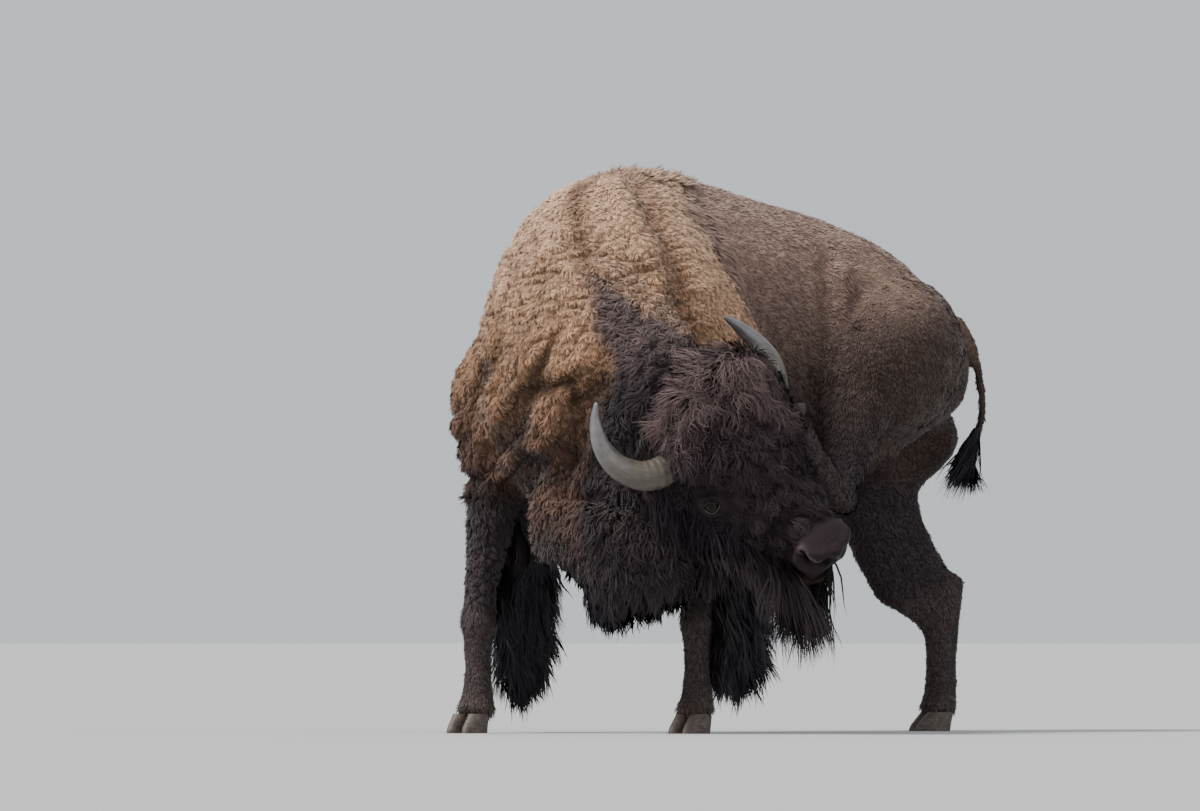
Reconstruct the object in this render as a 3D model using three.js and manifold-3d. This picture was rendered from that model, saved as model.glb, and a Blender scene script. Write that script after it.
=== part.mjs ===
// A bull American plains bison at life size, as a still museum model.
// He stands on three legs, twisted round to his left, and scratches behind his left ear with a hind foot.
// Millimetres, +Z up. He faces -Y, and his left is +X. The origin is on the floor, under the middle of him.
import * as THREE from "three";
import { mergeVertices } from "three/addons/utils/BufferGeometryUtils.js";
import Module from "manifold-3d";

const wasm = await Module();
wasm.setup();

// ---- Driving dimensions ----
const HUMP_HEIGHT = 1795; // floor to the hair on top of the hump
const GAP = 0.4; // left between neighbouring pieces
const SPINE_LENGTH = 1450; // from above the shoulders to the root of the tail, along the back
const SPINE_START = THREE.MathUtils.degToRad(-17); // how far the shoulders turn to the left
const SPINE_BEND = THREE.MathUtils.degToRad(37) / SPINE_LENGTH; // bend of the back to the left, per mm
const HEAD_TURN = THREE.MathUtils.degToRad(122); // the head looks back over the left side
const HEAD_DROP = THREE.MathUtils.degToRad(44); // muzzle below the level
const HEAD_ROLL = THREE.MathUtils.degToRad(-44); // left horn above the right one
const HOOF_HEIGHT = 62;
const CLEFT = 31; // from the middle of a foot to the middle of each toe

// ---- Finishes ----
const finish = (color, roughness) => new THREE.MeshStandardMaterial({ color, roughness, metalness: 0 });
const TAN_WOOL = finish(0x8a6440, 0.95);
const BROWN_COAT = finish(0x4a362a, 0.9);
const DARK_HAIR = finish(0x231a18, 0.92);
const BARE_SKIN = finish(0x2a211f, 0.45);
const HORN = finish(0x6e675c, 0.45);
const HOOF = finish(0x4a403a, 0.6);
const EYE = finish(0x1c120c, 0.1);

// ---- Places ----
const UP = new THREE.Vector3(0, 0, 1);
const v = (x, y, z) => new THREE.Vector3(x, y, z);

// Heading of the back at a distance behind the top of the hump. The back lies on one arc in plan.
const heading = (behind) => SPINE_START + SPINE_BEND * behind;

// A point of the body: so far behind the top of the hump, so far out to the left, so high.
function body(behind, left, up) {
  const turn = heading(behind);
  const x = (Math.cos(SPINE_START) - Math.cos(turn)) / SPINE_BEND;
  const y = (Math.sin(turn) - Math.sin(SPINE_START)) / SPINE_BEND;
  return v(x + left * Math.cos(turn), y - left * Math.sin(turn), up);
}

// The way forward at that distance along the back.
const ahead = (behind) => v(-Math.sin(heading(behind)), -Math.cos(heading(behind)), 0);

// The head's own frame: +X to its left, -Y to the muzzle, +Z out of the forehead, from between the horns.
const skull = new THREE.Object3D();
skull.position.copy(body(-247, 547, 951));
skull.rotation.set(HEAD_DROP, HEAD_ROLL, HEAD_TURN, "ZXY");
skull.updateMatrixWorld(true);
const head = (left, forward, out) => v(left, -forward, out).applyMatrix4(skull.matrixWorld);
const headWay = (left, forward, out) => head(left, forward, out).sub(skull.position).normalize();

// ---- Shapes ----
// A body carried through stations. Each station has its middle, its half width, and how far it reaches
// towards up and away from it. Sizes run smoothly from station to station, and both ends are domed.
// A swelling lifts the surface near a point, and grow makes the whole body that much larger.
function loft(stations, options = {}) {
  const { around = 10, along = 5, up = UP, domes = [0, 0], pinch = [1, 1], swell = [], grow = 0 } = options;
  const { facing = (tangent) => tangent } = options;
  const curve = (points) => new THREE.CatmullRomCurve3(points, false, "catmullrom", 0.5);
  const middle = curve(stations.map((station) => station.at));
  const sizes = curve(stations.map((station) => v(...station.size)));
  const ups = curve(stations.map((station) => station.up ?? up));
  const points = [];
  const ring = (t, shift, scale) => {
    const tangent = facing(middle.getTangent(t));
    const centre = middle.getPoint(t).addScaledVector(tangent, shift);
    const top = ups.getPoint(t).projectOnPlane(tangent).normalize();
    const side = new THREE.Vector3().crossVectors(tangent, top);
    const [wide, above, below] = sizes.getPoint(t).toArray().map((size) => (size + grow) * scale);
    for (let i = 0; i < around; i++) {
      const angle = (i / around) * 2 * Math.PI;
      const [rise, run] = [Math.cos(angle), Math.sin(angle)];
      const across = Math.sign(run) * Math.abs(run) ** (rise > 0 ? pinch[0] : pinch[1]);
      const point = centre.clone().addScaledVector(side, across * wide);
      point.addScaledVector(top, rise * (rise > 0 ? above : below));
      const out = point.clone().sub(centre).normalize();
      for (const { at, reach, lift } of swell)
        point.addScaledVector(out, lift * scale * Math.exp(-point.distanceToSquared(at) / reach ** 2));
      points.push(point);
    }
  };
  const dome = (t, length, way) => {
    const count = length > 40 ? 2 : length > 0 ? 1 : 0;
    const turns = Array.from({ length: count }, (_, k) => ((k + 1) / (count + 0.6)) * (Math.PI / 2));
    if (way < 0) turns.reverse();
    for (const turn of turns) ring(t, way * (length + grow) * Math.sin(turn), Math.cos(turn));
  };
  dome(0, domes[0], -1);
  for (let k = 0; k <= along; k++) ring(k / along, 0, 1);
  dome(1, domes[1], 1);

  const faces = [];
  const rings = points.length / around;
  const [start, end] = [points.length, points.length + 1];
  for (const [t, length, way] of [[0, domes[0], -1], [1, domes[1], 1]])
    points.push(middle.getPoint(t).addScaledVector(facing(middle.getTangent(t)), way * (length + grow)));
  for (let i = 0; i < around; i++) {
    const j = (i + 1) % around;
    for (let r = 0; r + 1 < rings; r++) {
      const [near, far] = [r * around, (r + 1) * around];
      faces.push(near + i, near + j, far + i, near + j, far + j, far + i);
    }
    const last = (rings - 1) * around;
    faces.push(start, j, i, end, last + i, last + j);
  }
  return new THREE.BufferGeometry().setFromPoints(points).setIndex(faces);
}

// ---- Joining and cutting ----
function solid(geometry) {
  const bare = geometry.clone();
  bare.deleteAttribute("normal");
  bare.deleteAttribute("uv");
  const merged = mergeVertices(bare, 1e-3);
  const vertProperties = merged.attributes.position.array;
  const triVerts = new Uint32Array(merged.index.array);
  return new wasm.Manifold(new wasm.Mesh({ numProp: 3, vertProperties, triVerts }));
}

// A form made twice: as it is, and a little larger to cut its neighbours with.
function form(stations, options) {
  const [made, cutter] = [0, GAP].map((grow) => solid(loft(stations, { ...options, grow })));
  return { made, cutter };
}

// What is left of a solid once all that is in place is cut from it: the largest piece, without crumbs.
const taken = [];
function carve(base) {
  const pieces = taken.reduce((rest, cutter) => rest.subtract(cutter), base).decompose();
  return pieces.sort((a, b) => b.volume() - a.volume())[0];
}

const bison = new THREE.Group();

function add(name, made, material) {
  const mesh = made.getMesh();
  const geometry = new THREE.BufferGeometry();
  geometry.setAttribute("position", new THREE.BufferAttribute(mesh.vertProperties, mesh.numProp));
  geometry.setIndex(new THREE.BufferAttribute(mesh.triVerts, 1));
  const node = new THREE.Mesh(geometry, material);
  node.name = name;
  bison.add(node);
}

function place(name, shape, material) {
  add(name, carve(shape.made), material);
  taken.push(shape.cutter);
}

// ---- Trunk ----
// Along the back: [behind the hump, top, height of the widest place, bottom, half width].
const TRUNK = [
  [-330, 1590, 1140, 830, 235],
  [-200, 1730, 1100, 690, 335],
  [0, HUMP_HEIGHT, 1060, 610, 395],
  [200, HUMP_HEIGHT + 5, 1050, 600, 395],
  [400, 1788, 1060, 640, 375],
  [600, 1735, 1080, 680, 355],
  [800, 1695, 1110, 730, 325],
  [1000, 1638, 1160, 810, 290],
  [1160, 1562, 1190, 890, 262],
  [1300, 1437, 1190, 975, 212],
  [1392, 1315, 1180, 1040, 140],
].map(([behind, top, widest, bottom, wide]) => ({
  at: body(behind, 0, widest),
  size: [wide, top - widest, widest - bottom],
}));
const SWELLINGS = [
  { at: body(-160, -200, 1560), reach: 190, lift: 36 }, // wool over the front of each shoulder
  { at: body(-90, 230, 1560), reach: 190, lift: 40 },
  { at: body(-80, -385, 1080), reach: 240, lift: 48 }, // points of the shoulders
  { at: body(-30, 390, 1020), reach: 230, lift: 30 },
  { at: body(40, 330, 1330), reach: 190, lift: 38 }, // shoulder blades
  { at: body(-20, -330, 1330), reach: 190, lift: 38 },
  { at: body(330, 360, 1250), reach: 130, lift: -26 }, // hollow behind each shoulder
  { at: body(330, -360, 1250), reach: 130, lift: -26 },
  { at: body(860, 250, 1420), reach: 130, lift: -30 }, // hollow of each flank
  { at: body(860, -250, 1420), reach: 130, lift: -30 },
  { at: body(1010, 220, 1510), reach: 90, lift: 34 }, // points of the hips
  { at: body(1010, -220, 1510), reach: 90, lift: 34 },
];
const trunk = form(TRUNK, {
  around: 22,
  along: 17,
  domes: [90, 30],
  pinch: [1.1, 0.9],
  swell: SWELLINGS,
  facing: (tangent) => tangent.setZ(0).normalize(),
});

// A block in plan between two cross-sections of the trunk, taller than it is.
const TRUNK_REACH = 900;
function slice(from, to) {
  const sides = [[from, -TRUNK_REACH], [from, TRUNK_REACH], [to, TRUNK_REACH], [to, -TRUNK_REACH]];
  const corners = sides.map(([behind, left]) => body(behind, left, 0));
  const outline = new THREE.Shape(corners.map(({ x, y }) => new THREE.Vector2(x, y)));
  return solid(new THREE.ExtrudeGeometry(outline, { depth: 2 * HUMP_HEIGHT, bevelEnabled: false }));
}
const CHEST_END = 330; // the shoulders and hump end here, and the barrel begins
const BARREL_END = 930; // the barrel ends here, and the rump begins

// ---- Legs ----
// A limb's stations: [behind, left, up, half width, reach to the front, reach to the back].
function limb(rows, options) {
  const stations = rows.map(([behind, left, up, ...size]) => ({ at: body(behind, left, up), size }));
  return form(stations, options);
}

// Below the knee both forelegs are alike: [shift back, up, half width, reach to the front, to the back].
const FORE_CANNON = [
  [0, 400, 58, 62, 56],
  [-3, 345, 60, 64, 54],
  [-5, 280, 48, 50, 50],
  [-6, 200, 45, 45, 50],
  [-8, 120, 55, 52, 58],
  [-29, 66, 54, 52, 52],
];
function foreCannon(behind, left) {
  const rows = FORE_CANNON.map(([back, ...rest]) => [behind + back, left, ...rest]);
  return limb(rows, { up: ahead(behind), domes: [15, 15] });
}

const rightArm = limb(
  [
    [-140, -250, 1250, 120, 130, 150],
    [-170, -285, 1120, 145, 150, 165],
    [-190, -300, 960, 132, 138, 150],
    [-165, -316, 800, 98, 112, 120],
    [-190, -335, 600, 76, 80, 88],
    [-214, -346, 420, 62, 66, 62],
  ],
  { domes: [60, 40], up: ahead(-200) },
);
const leftArm = limb(
  [
    [-90, 240, 1250, 110, 130, 150],
    [-50, 265, 1120, 130, 145, 160],
    [30, 288, 960, 122, 136, 150],
    [145, 297, 800, 96, 110, 118],
    [112, 300, 600, 76, 80, 88],
    [86, 299, 420, 62, 66, 62],
  ],
  { domes: [60, 40], up: ahead(60) },
);
const rightCannon = foreCannon(-215, -348);
const leftCannon = foreCannon(80, 299);

const rightThigh = limb(
  [
    [1170, -110, 1290, 140, 210, 190],
    [1165, -165, 1150, 150, 225, 235],
    [1180, -188, 990, 140, 225, 240],
    [1180, -197, 850, 112, 200, 205],
  ],
  { around: 14, up: ahead(1150), domes: [60, 90] },
);
const rightShank = limb(
  [
    [1130, -205, 850, 104, 160, 220],
    [1175, -172, 720, 94, 132, 178],
    [1255, -120, 590, 74, 95, 110],
    [1345, -66, 455, 56, 62, 78],
  ],
  { up: ahead(1150), domes: [60, 30] },
);
const rightHock = limb(
  [
    [1368, -60, 500, 48, 56, 74],
    [1358, -60, 430, 54, 66, 72],
    [1352, -52, 340, 46, 60, 66],
    [1348, -45, 230, 42, 54, 58],
    [1343, -36, 120, 53, 56, 60],
    [1322, -30, 66, 54, 52, 52],
  ],
  { up: ahead(1300), domes: [25, 15] },
);

// The lifted leg: the thigh swings out and forward, the shank drops from the stifle, and the cannon
// folds forward and up to the ear.
const leftThigh = limb(
  [
    [1170, 40, 1250, 200, 235, 200],
    [1110, 190, 1220, 205, 245, 255],
    [980, 310, 1175, 185, 215, 225],
    [850, 360, 1150, 145, 160, 165],
  ],
  { around: 16, domes: [40, 100] },
);
const leftShank = limb(
  [
    [829, 355, 1150, 100, 110, 110],
    [802, 362, 1060, 108, 132, 135],
    [712, 408, 900, 76, 98, 98],
    [686, 445, 800, 52, 64, 66],
  ],
  { up: v(-0.57, -0.82, 0), domes: [60, 25] },
);
const leftHock = limb(
  [
    [690, 462, 728, 42, 44, 50],
    [640, 462, 760, 50, 52, 60],
    [560, 478, 820, 45, 50, 54],
    [460, 497, 895, 42, 45, 50],
    [366, 518, 958, 50, 52, 54],
    [308, 508, 1003, 48, 48, 46],
  ],
  { domes: [30, 15] },
);

// ---- Feet ----
// Two toes side by side on a flat sole. Their tips point to the front, and up leads into the leg.
const toes = [];
function hooves(name, at, front, up) {
  const left = new THREE.Vector3().crossVectors(up, front).normalize();
  for (const [side, word] of [[1, "left"], [-1, "right"]]) {
    const heel = at.clone().addScaledVector(left, side * CLEFT);
    const spot = (forward, height) =>
      heel.clone().addScaledVector(front, forward).addScaledVector(up, height);
    const stations = [
      { at: spot(8, 0), size: [29, 72, 48] },
      { at: spot(2, 0.5 * HOOF_HEIGHT), size: [28, 58, 46] },
      { at: spot(-6, HOOF_HEIGHT), size: [25, 42, 40] },
    ];
    toes.push([`${name}_${word}_toe`, form(stations, { along: 2, up: front, facing: () => up })]);
  }
}
hooves("right_fore", body(-262, -350, 0), ahead(-262), UP);
hooves("left_fore", body(44, 300, 0), ahead(44), UP);
hooves("right_hind", body(1322, -26, 0), ahead(1250), UP);
hooves("left_hind", head(298, 2, -212), v(-0.278, -0.611, 0.737), v(0.09, 0.749, 0.657));

// ---- Neck ----
const NECK = [
  { at: body(-90, -10, 1240), size: [270, 370, 350] },
  { at: body(-231, 39, 1190), size: [265, 375, 380], up: v(0.16, -0.12, 0.98) },
  { at: body(-236, 183, 1100), size: [215, 310, 380], up: v(0.23, -0.16, 0.96) },
  { at: body(-215, 325, 1015), size: [205, 280, 320], up: v(0.47, -0.33, 0.82) },
  { at: body(-200, 436, 955), size: [205, 235, 260], up: v(0.77, -0.32, 0.55) },
];
const neck = form(NECK, { around: 16, along: 7, domes: [40, 40] });

// ---- Head ----
// A piece of the head: [left, forward, out of the forehead, half width, reach out, reach in].
function headPiece(rows, options) {
  const stations = rows.map(([left, forward, out, ...size]) => ({ at: head(left, forward, out), size }));
  return form(stations, { up: headWay(0, 0, 1), ...options });
}
const EYE_OUT = 188; // from the middle of the head to the middle of each eyeball
const EYE_FORWARD = 200;
const EYE_RADIUS = 21;
const EYE_HOLLOWS = [-1, 1].map((side) => ({ at: head(side * 245, EYE_FORWARD, -5), reach: 75, lift: -58 }));
const face = headPiece(
  [
    [0, -130, -30, 175, 140, 140],
    [0, -50, -30, 238, 205, 200],
    [0, 50, -30, 265, 230, 235],
    [0, 150, -30, 262, 230, 245],
    [0, 250, -30, 226, 200, 230],
    [0, 340, -25, 176, 152, 195],
    [0, 430, -20, 120, 105, 150],
  ],
  { around: 20, along: 9, domes: [60, 50], swell: EYE_HOLLOWS },
);
const muzzle = headPiece(
  [
    [0, 400, -20, 80, 70, 100],
    [0, 470, -15, 84, 68, 108],
    [0, 530, -10, 78, 60, 100],
    [0, 555, -12, 66, 48, 84],
  ],
  { around: 14, along: 4, domes: [0, 22], pinch: [0.85, 0.9] },
);
const chin = headPiece(
  [
    [0, 410, -125, 68, 40, 52],
    [0, 480, -132, 66, 36, 48],
    [0, 528, -134, 55, 30, 38],
  ],
  { along: 3, domes: [20, 22] },
);

// Each horn leaves the head sideways, sweeps back past the poll and turns in at the tip.
function horn(side) {
  const ROWS = [
    [190, 12, -20, 50],
    [245, 2, -22, 49],
    [295, -28, -22, 45],
    [332, -90, -14, 39],
    [336, -160, 6, 30],
    [312, -228, 38, 19],
    [278, -272, 72, 6],
  ];
  const rows = ROWS.map(([left, forward, out, thick]) => [side * left, forward, out, thick, thick, thick]);
  return headPiece(rows, { around: 8, along: 10, domes: [0, 8] });
}

function ear(side) {
  const ROWS = [
    [170, -20, -110, 26, 18, 18],
    [235, -45, -125, 42, 16, 20],
    [290, -75, -130, 40, 12, 16],
    [330, -100, -130, 20, 8, 9],
  ];
  const rows = ROWS.map(([left, ...rest]) => [side * left, ...rest]);
  return headPiece(rows, { around: 8, domes: [8, 10] });
}

function eye(side) {
  const ball = (radius) => {
    const sphere = new THREE.SphereGeometry(radius, 10, 7);
    return solid(sphere.translate(...head(side * EYE_OUT, EYE_FORWARD, -5).toArray()));
  };
  return { made: ball(EYE_RADIUS), cutter: ball(EYE_RADIUS + GAP) };
}

// ---- Long hair ----
// The beard and the throat mane hang straight down.
const BEARD_ROOT = head(0, 462, -155);
const below = (drop) => BEARD_ROOT.clone().setZ(BEARD_ROOT.z - drop);
const beard = form(
  [
    { at: below(20), size: [88, 112, 90] },
    { at: below(115), size: [105, 108, 110] },
    { at: below(205), size: [88, 80, 90] },
    { at: below(305), size: [40, 34, 40] },
  ],
  { along: 4, up: headWay(0, 1, 0), domes: [30, 30] },
);
const throatMane = limb(
  [
    [-245, -60, 720, 112, 124, 205],
    [-305, 145, 640, 122, 140, 300],
    [-280, 300, 630, 115, 140, 270],
    [-200, 440, 630, 105, 120, 220],
  ],
  { around: 12, domes: [60, 60] },
);
const rightChaps = limb(
  [
    [-60, -280, 840, 70, 70, 75],
    [-25, -300, 650, 100, 110, 108],
    [-10, -318, 400, 96, 135, 130],
    [-20, -322, 210, 74, 120, 110],
    [-40, -325, 120, 36, 60, 60],
  ],
  { up: ahead(-60), domes: [30, 30] },
);
const leftChaps = limb(
  [
    [205, 285, 840, 70, 70, 75],
    [235, 298, 650, 96, 118, 115],
    [260, 310, 420, 92, 150, 150],
    [265, 312, 250, 70, 120, 130],
    [235, 312, 150, 36, 60, 70],
  ],
  { up: ahead(240), domes: [30, 30] },
);

// ---- Tail and scrotum ----
const tail = limb(
  [
    [1370, -10, 1330, 40, 40, 40],
    [1425, -20, 1285, 32, 30, 30],
    [1465, -29, 1190, 20, 20, 20],
    [1485, -34, 1080, 17, 17, 17],
    [1475, -37, 980, 17, 17, 17],
    [1455, -37, 930, 17, 17, 17],
  ],
  { around: 8, along: 8, up: ahead(1450), domes: [10, 8] },
);
const tailTuft = limb(
  [
    [1476, -37, 945, 22, 24, 24],
    [1462, -36, 890, 32, 36, 36],
    [1445, -34, 820, 30, 42, 42],
    [1435, -33, 760, 14, 22, 22],
  ],
  { around: 8, along: 4, up: ahead(1450), domes: [8, 14] },
);
const scrotum = limb(
  [
    [1095, 40, 1010, 62, 70, 70],
    [1090, 48, 900, 72, 66, 66],
    [1090, 50, 850, 64, 56, 56],
  ],
  { along: 4, up: ahead(1090), domes: [20, 50] },
);

// ---- Parting: each piece is cut back from all those before it ----
place("right_horn", horn(-1), HORN);
place("left_horn", horn(1), HORN);
place("right_eye", eye(-1), EYE);
place("left_eye", eye(1), EYE);
place("muzzle", muzzle, BARE_SKIN);
place("head", face, DARK_HAIR);
add("shoulders_and_hump", carve(trunk.made.intersect(slice(-TRUNK_REACH, CHEST_END - GAP / 2))), TAN_WOOL);
add("barrel", carve(trunk.made.intersect(slice(CHEST_END + GAP / 2, BARREL_END - GAP / 2))), BROWN_COAT);
add("rump", carve(trunk.made.intersect(slice(BARREL_END + GAP / 2, 2 * TRUNK_REACH))), BROWN_COAT);
taken.push(trunk.cutter);
place("neck", neck, TAN_WOOL);
place("right_foreleg", rightArm, DARK_HAIR);
place("left_foreleg", leftArm, DARK_HAIR);
place("right_fore_cannon", rightCannon, DARK_HAIR);
place("left_fore_cannon", leftCannon, DARK_HAIR);
place("right_thigh", rightThigh, BROWN_COAT);
place("right_shank", rightShank, DARK_HAIR);
place("right_hind_cannon", rightHock, DARK_HAIR);
place("left_thigh", leftThigh, BROWN_COAT);
place("left_shank", leftShank, DARK_HAIR);
place("left_hind_cannon", leftHock, DARK_HAIR);
for (const [name, toe] of toes) place(name, toe, HOOF);
place("right_ear", ear(-1), DARK_HAIR);
place("left_ear", ear(1), DARK_HAIR);
place("chin", chin, BARE_SKIN);
place("beard", beard, DARK_HAIR);
place("throat_mane", throatMane, DARK_HAIR);
place("right_chaps", rightChaps, DARK_HAIR);
place("left_chaps", leftChaps, DARK_HAIR);
place("tail", tail, BROWN_COAT);
place("tail_tuft", tailTuft, DARK_HAIR);
place("scrotum", scrotum, BARE_SKIN);

// ---- Centre the model over the floor ----
const bounds = new THREE.Box3().setFromObject(bison);
const middle = bounds.getCenter(new THREE.Vector3());
bison.position.set(-middle.x, -middle.y, -bounds.min.z);

export default bison;
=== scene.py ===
import itertools
import math

import bmesh
import bpy
import numpy as np
from mathutils import Matrix, Vector
from mathutils.bvhtree import BVHTree
from mathutils.kdtree import KDTree


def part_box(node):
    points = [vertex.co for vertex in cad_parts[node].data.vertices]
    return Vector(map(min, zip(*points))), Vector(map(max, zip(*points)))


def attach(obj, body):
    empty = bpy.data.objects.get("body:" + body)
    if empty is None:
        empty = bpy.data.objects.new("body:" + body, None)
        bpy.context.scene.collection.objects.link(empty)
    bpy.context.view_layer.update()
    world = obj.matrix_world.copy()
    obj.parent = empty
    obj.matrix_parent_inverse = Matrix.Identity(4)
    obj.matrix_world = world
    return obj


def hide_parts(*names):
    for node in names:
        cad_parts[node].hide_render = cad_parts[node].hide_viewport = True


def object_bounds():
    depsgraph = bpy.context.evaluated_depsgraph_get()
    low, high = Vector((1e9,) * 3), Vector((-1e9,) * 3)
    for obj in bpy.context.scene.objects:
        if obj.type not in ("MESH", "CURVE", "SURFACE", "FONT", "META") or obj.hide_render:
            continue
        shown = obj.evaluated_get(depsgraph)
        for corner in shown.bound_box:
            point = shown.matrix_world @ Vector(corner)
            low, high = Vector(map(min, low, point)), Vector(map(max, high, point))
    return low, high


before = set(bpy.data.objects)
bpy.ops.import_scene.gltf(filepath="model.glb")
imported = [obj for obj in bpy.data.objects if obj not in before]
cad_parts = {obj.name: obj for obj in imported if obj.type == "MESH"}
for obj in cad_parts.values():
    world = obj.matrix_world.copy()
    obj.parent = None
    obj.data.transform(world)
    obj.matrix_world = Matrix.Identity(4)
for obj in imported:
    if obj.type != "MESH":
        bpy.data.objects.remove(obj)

CAD_BOUNDS = [list(corner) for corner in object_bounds()]

bl_info = {
    "name": "Scratching bison bull",
    "version": (1, 0, 0),
    "blender": (4, 5, 0),
    "location": "3D View > Sidebar > Bison",
    "description": "Dresses the solids of a life-size bison bull in hide, wool, hair, horn and hoof",
    "category": "Object",
}

# ---- Where things are on the bull, in metres ----
# The back lies on one arc in plan, and the head has its own frame. Both are set by the eyes of the solids.
SPINE_START = math.radians(-17)
SPINE_BEND = math.radians(37) / 1.45
SKULL = (-0.247, 0.547)  # the middle of the head: so far behind the hump, so far to the left of the back
HEAD = (
    Matrix.Rotation(math.radians(122), 3, "Z")
    @ Matrix.Rotation(math.radians(44), 3, "X")
    @ Matrix.Rotation(math.radians(-44), 3, "Y")
)
HEAD_AXES = np.array([HEAD @ Vector(way) for way in ((1, 0, 0), (0, -1, 0), (0, 0, 1))])
EYE = np.array((0.188, 0.200, -0.005))  # in the head: to the side, forward, out of the forehead
EYE_RADIUS = 0.0235
CORNEA = 0.0016  # how far the cornea stands out from the ball
PUPIL = (0.0085, 0.0050)  # half its length and height
IRIS_EDGE, IRIS_RIM = 0.0190, 0.0175
HORN_ROOT = np.array((0.245, 0.005, -0.022))  # in the head
CLEFT = 0.031  # from the middle of a foot to the middle of a toe


def centre(node):
    """The middle of a solid's box."""
    low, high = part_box(node)
    return np.array((low + high) / 2)


HEAD_AT = (centre("right_eye") + centre("left_eye")) / 2 - EYE[1:] @ HEAD_AXES[1:]


def arc(behind, left):
    """A point of the plan: the arc's middle, and out from it by the radius less the distance to the left."""
    turn = SPINE_START + SPINE_BEND * behind
    x = (math.cos(SPINE_START) - np.cos(turn)) / SPINE_BEND + left * np.cos(turn)
    y = (np.sin(turn) - math.sin(SPINE_START)) / SPINE_BEND - left * np.sin(turn)
    return np.stack([x, y], -1)


ARC_AT = HEAD_AT[:2] - arc(*SKULL)


def body(points):
    """Points of the body, given as behind the hump, left of the back and up, in the model's frame."""
    points = np.asarray(points, float)
    return np.concatenate([arc(points[..., 0], points[..., 1]) + ARC_AT, points[..., 2:]], -1)


def body_way(points, way):
    """A direction given as backward, left and up, turned with the back at each point."""
    turn = SPINE_START + SPINE_BEND * in_body(points)[:, 0]
    back, left, up = way
    x = back * np.sin(turn) + left * np.cos(turn)
    y = back * np.cos(turn) - left * np.sin(turn)
    return np.stack([x, y, np.full(len(turn), float(up))], -1)


def in_body(points):
    """The way back from body(): the angle and the radius about the arc's middle."""
    middle = ARC_AT + np.array((math.cos(SPINE_START), -math.sin(SPINE_START))) / SPINE_BEND
    off = points[:, :2] - middle
    turn = np.arctan2(off[:, 1], -off[:, 0])
    left = 1 / SPINE_BEND - np.hypot(off[:, 0], off[:, 1])
    return np.stack([(turn - SPINE_START) / SPINE_BEND, left, points[:, 2]], -1)


def head(points):
    """Points of the head, given as left, forward and out of the forehead, in the model's frame."""
    return HEAD_AT + np.asarray(points, float) @ HEAD_AXES


def in_head(points):
    """The way back from head()."""
    return (points - HEAD_AT) @ HEAD_AXES.T


# ---- Small numbers ----
def colour(text):
    """An sRGB hex colour as linear red, green, blue and 1."""
    srgb = np.array([int(text[i:i + 2], 16) for i in (1, 3, 5)]) / 255
    linear = np.where(srgb <= 0.04045, srgb / 12.92, ((srgb + 0.055) / 1.055) ** 2.4)
    return (*(float(part) for part in linear), 1.0)


def unit(vectors):
    """The vectors at length 1."""
    return vectors / np.maximum(np.linalg.norm(vectors, axis=-1, keepdims=True), 1e-12)


def ease(low, high, value):
    """0 below low, 1 above high, and 3t^2 - 2t^3 between."""
    t = np.clip((value - low) / (high - low), 0, 1)
    return t * t * (3 - 2 * t)


def bell(value, middle, reach):
    """1 at the middle, falling off to both sides as exp(-((value - middle) / reach)^2)."""
    return np.exp(-(((value - middle) / reach) ** 2))


def mix(a, b, share):
    """a where the share is 0, b where it is 1, and in proportion between."""
    share = np.asarray(share)[..., None]
    return a * (1 - share) + b * share


def noise(points, size, seed=0):
    """Smooth random numbers from -1 to 1: those of a lattice of the given size, eased between its corners."""
    scaled = points / size
    cell = np.floor(scaled).astype(np.int64)
    part = scaled - cell
    part = part * part * (3 - 2 * part)
    total = np.zeros(len(points))
    for corner in itertools.product((0, 1), repeat=3):
        at = cell + corner
        mixed = (at[:, 0] * 73856093) ^ (at[:, 1] * 19349663) ^ (at[:, 2] * 83492791) ^ (seed * 2654435761)
        mixed = ((mixed ^ (mixed >> 13)) * 1274126177) & 0x7FFFFFFF
        mixed = ((mixed ^ (mixed >> 15)) * 668265263) & 0x7FFFFFFF
        share = np.prod(np.where(corner, part, 1 - part), axis=1)
        total += share * (mixed / 0x3FFFFFFF - 1)
    return total


def to_path(points, path):
    """The distance of each point from a broken line, as the least of those to its pieces."""
    least = np.full(len(points), np.inf)
    for a, b in zip(path[:-1], path[1:]):
        span = b - a
        t = np.clip((points - a) @ span / (span @ span), 0, 1)
        least = np.minimum(least, np.linalg.norm(points - a - t[:, None] * span, axis=1))
    return least


def spline(rows, count):
    """A Catmull-Rom curve through the rows, read at evenly spaced places along it."""
    rows = np.asarray(rows, float)
    ends = [2 * rows[0] - rows[1], *rows, 2 * rows[-1] - rows[-2]]
    padded = np.array(ends)
    t = np.linspace(0, len(rows) - 1, count)
    k = np.minimum(t.astype(int), len(rows) - 2)
    t = (t - k)[:, None]
    a, b, c, d = (padded[k + i] for i in range(4))
    return 0.5 * (2 * b + (c - a) * t + (2 * a - 5 * b + 4 * c - d) * t**2 + (3 * b - a - 3 * c + d) * t**3)


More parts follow.
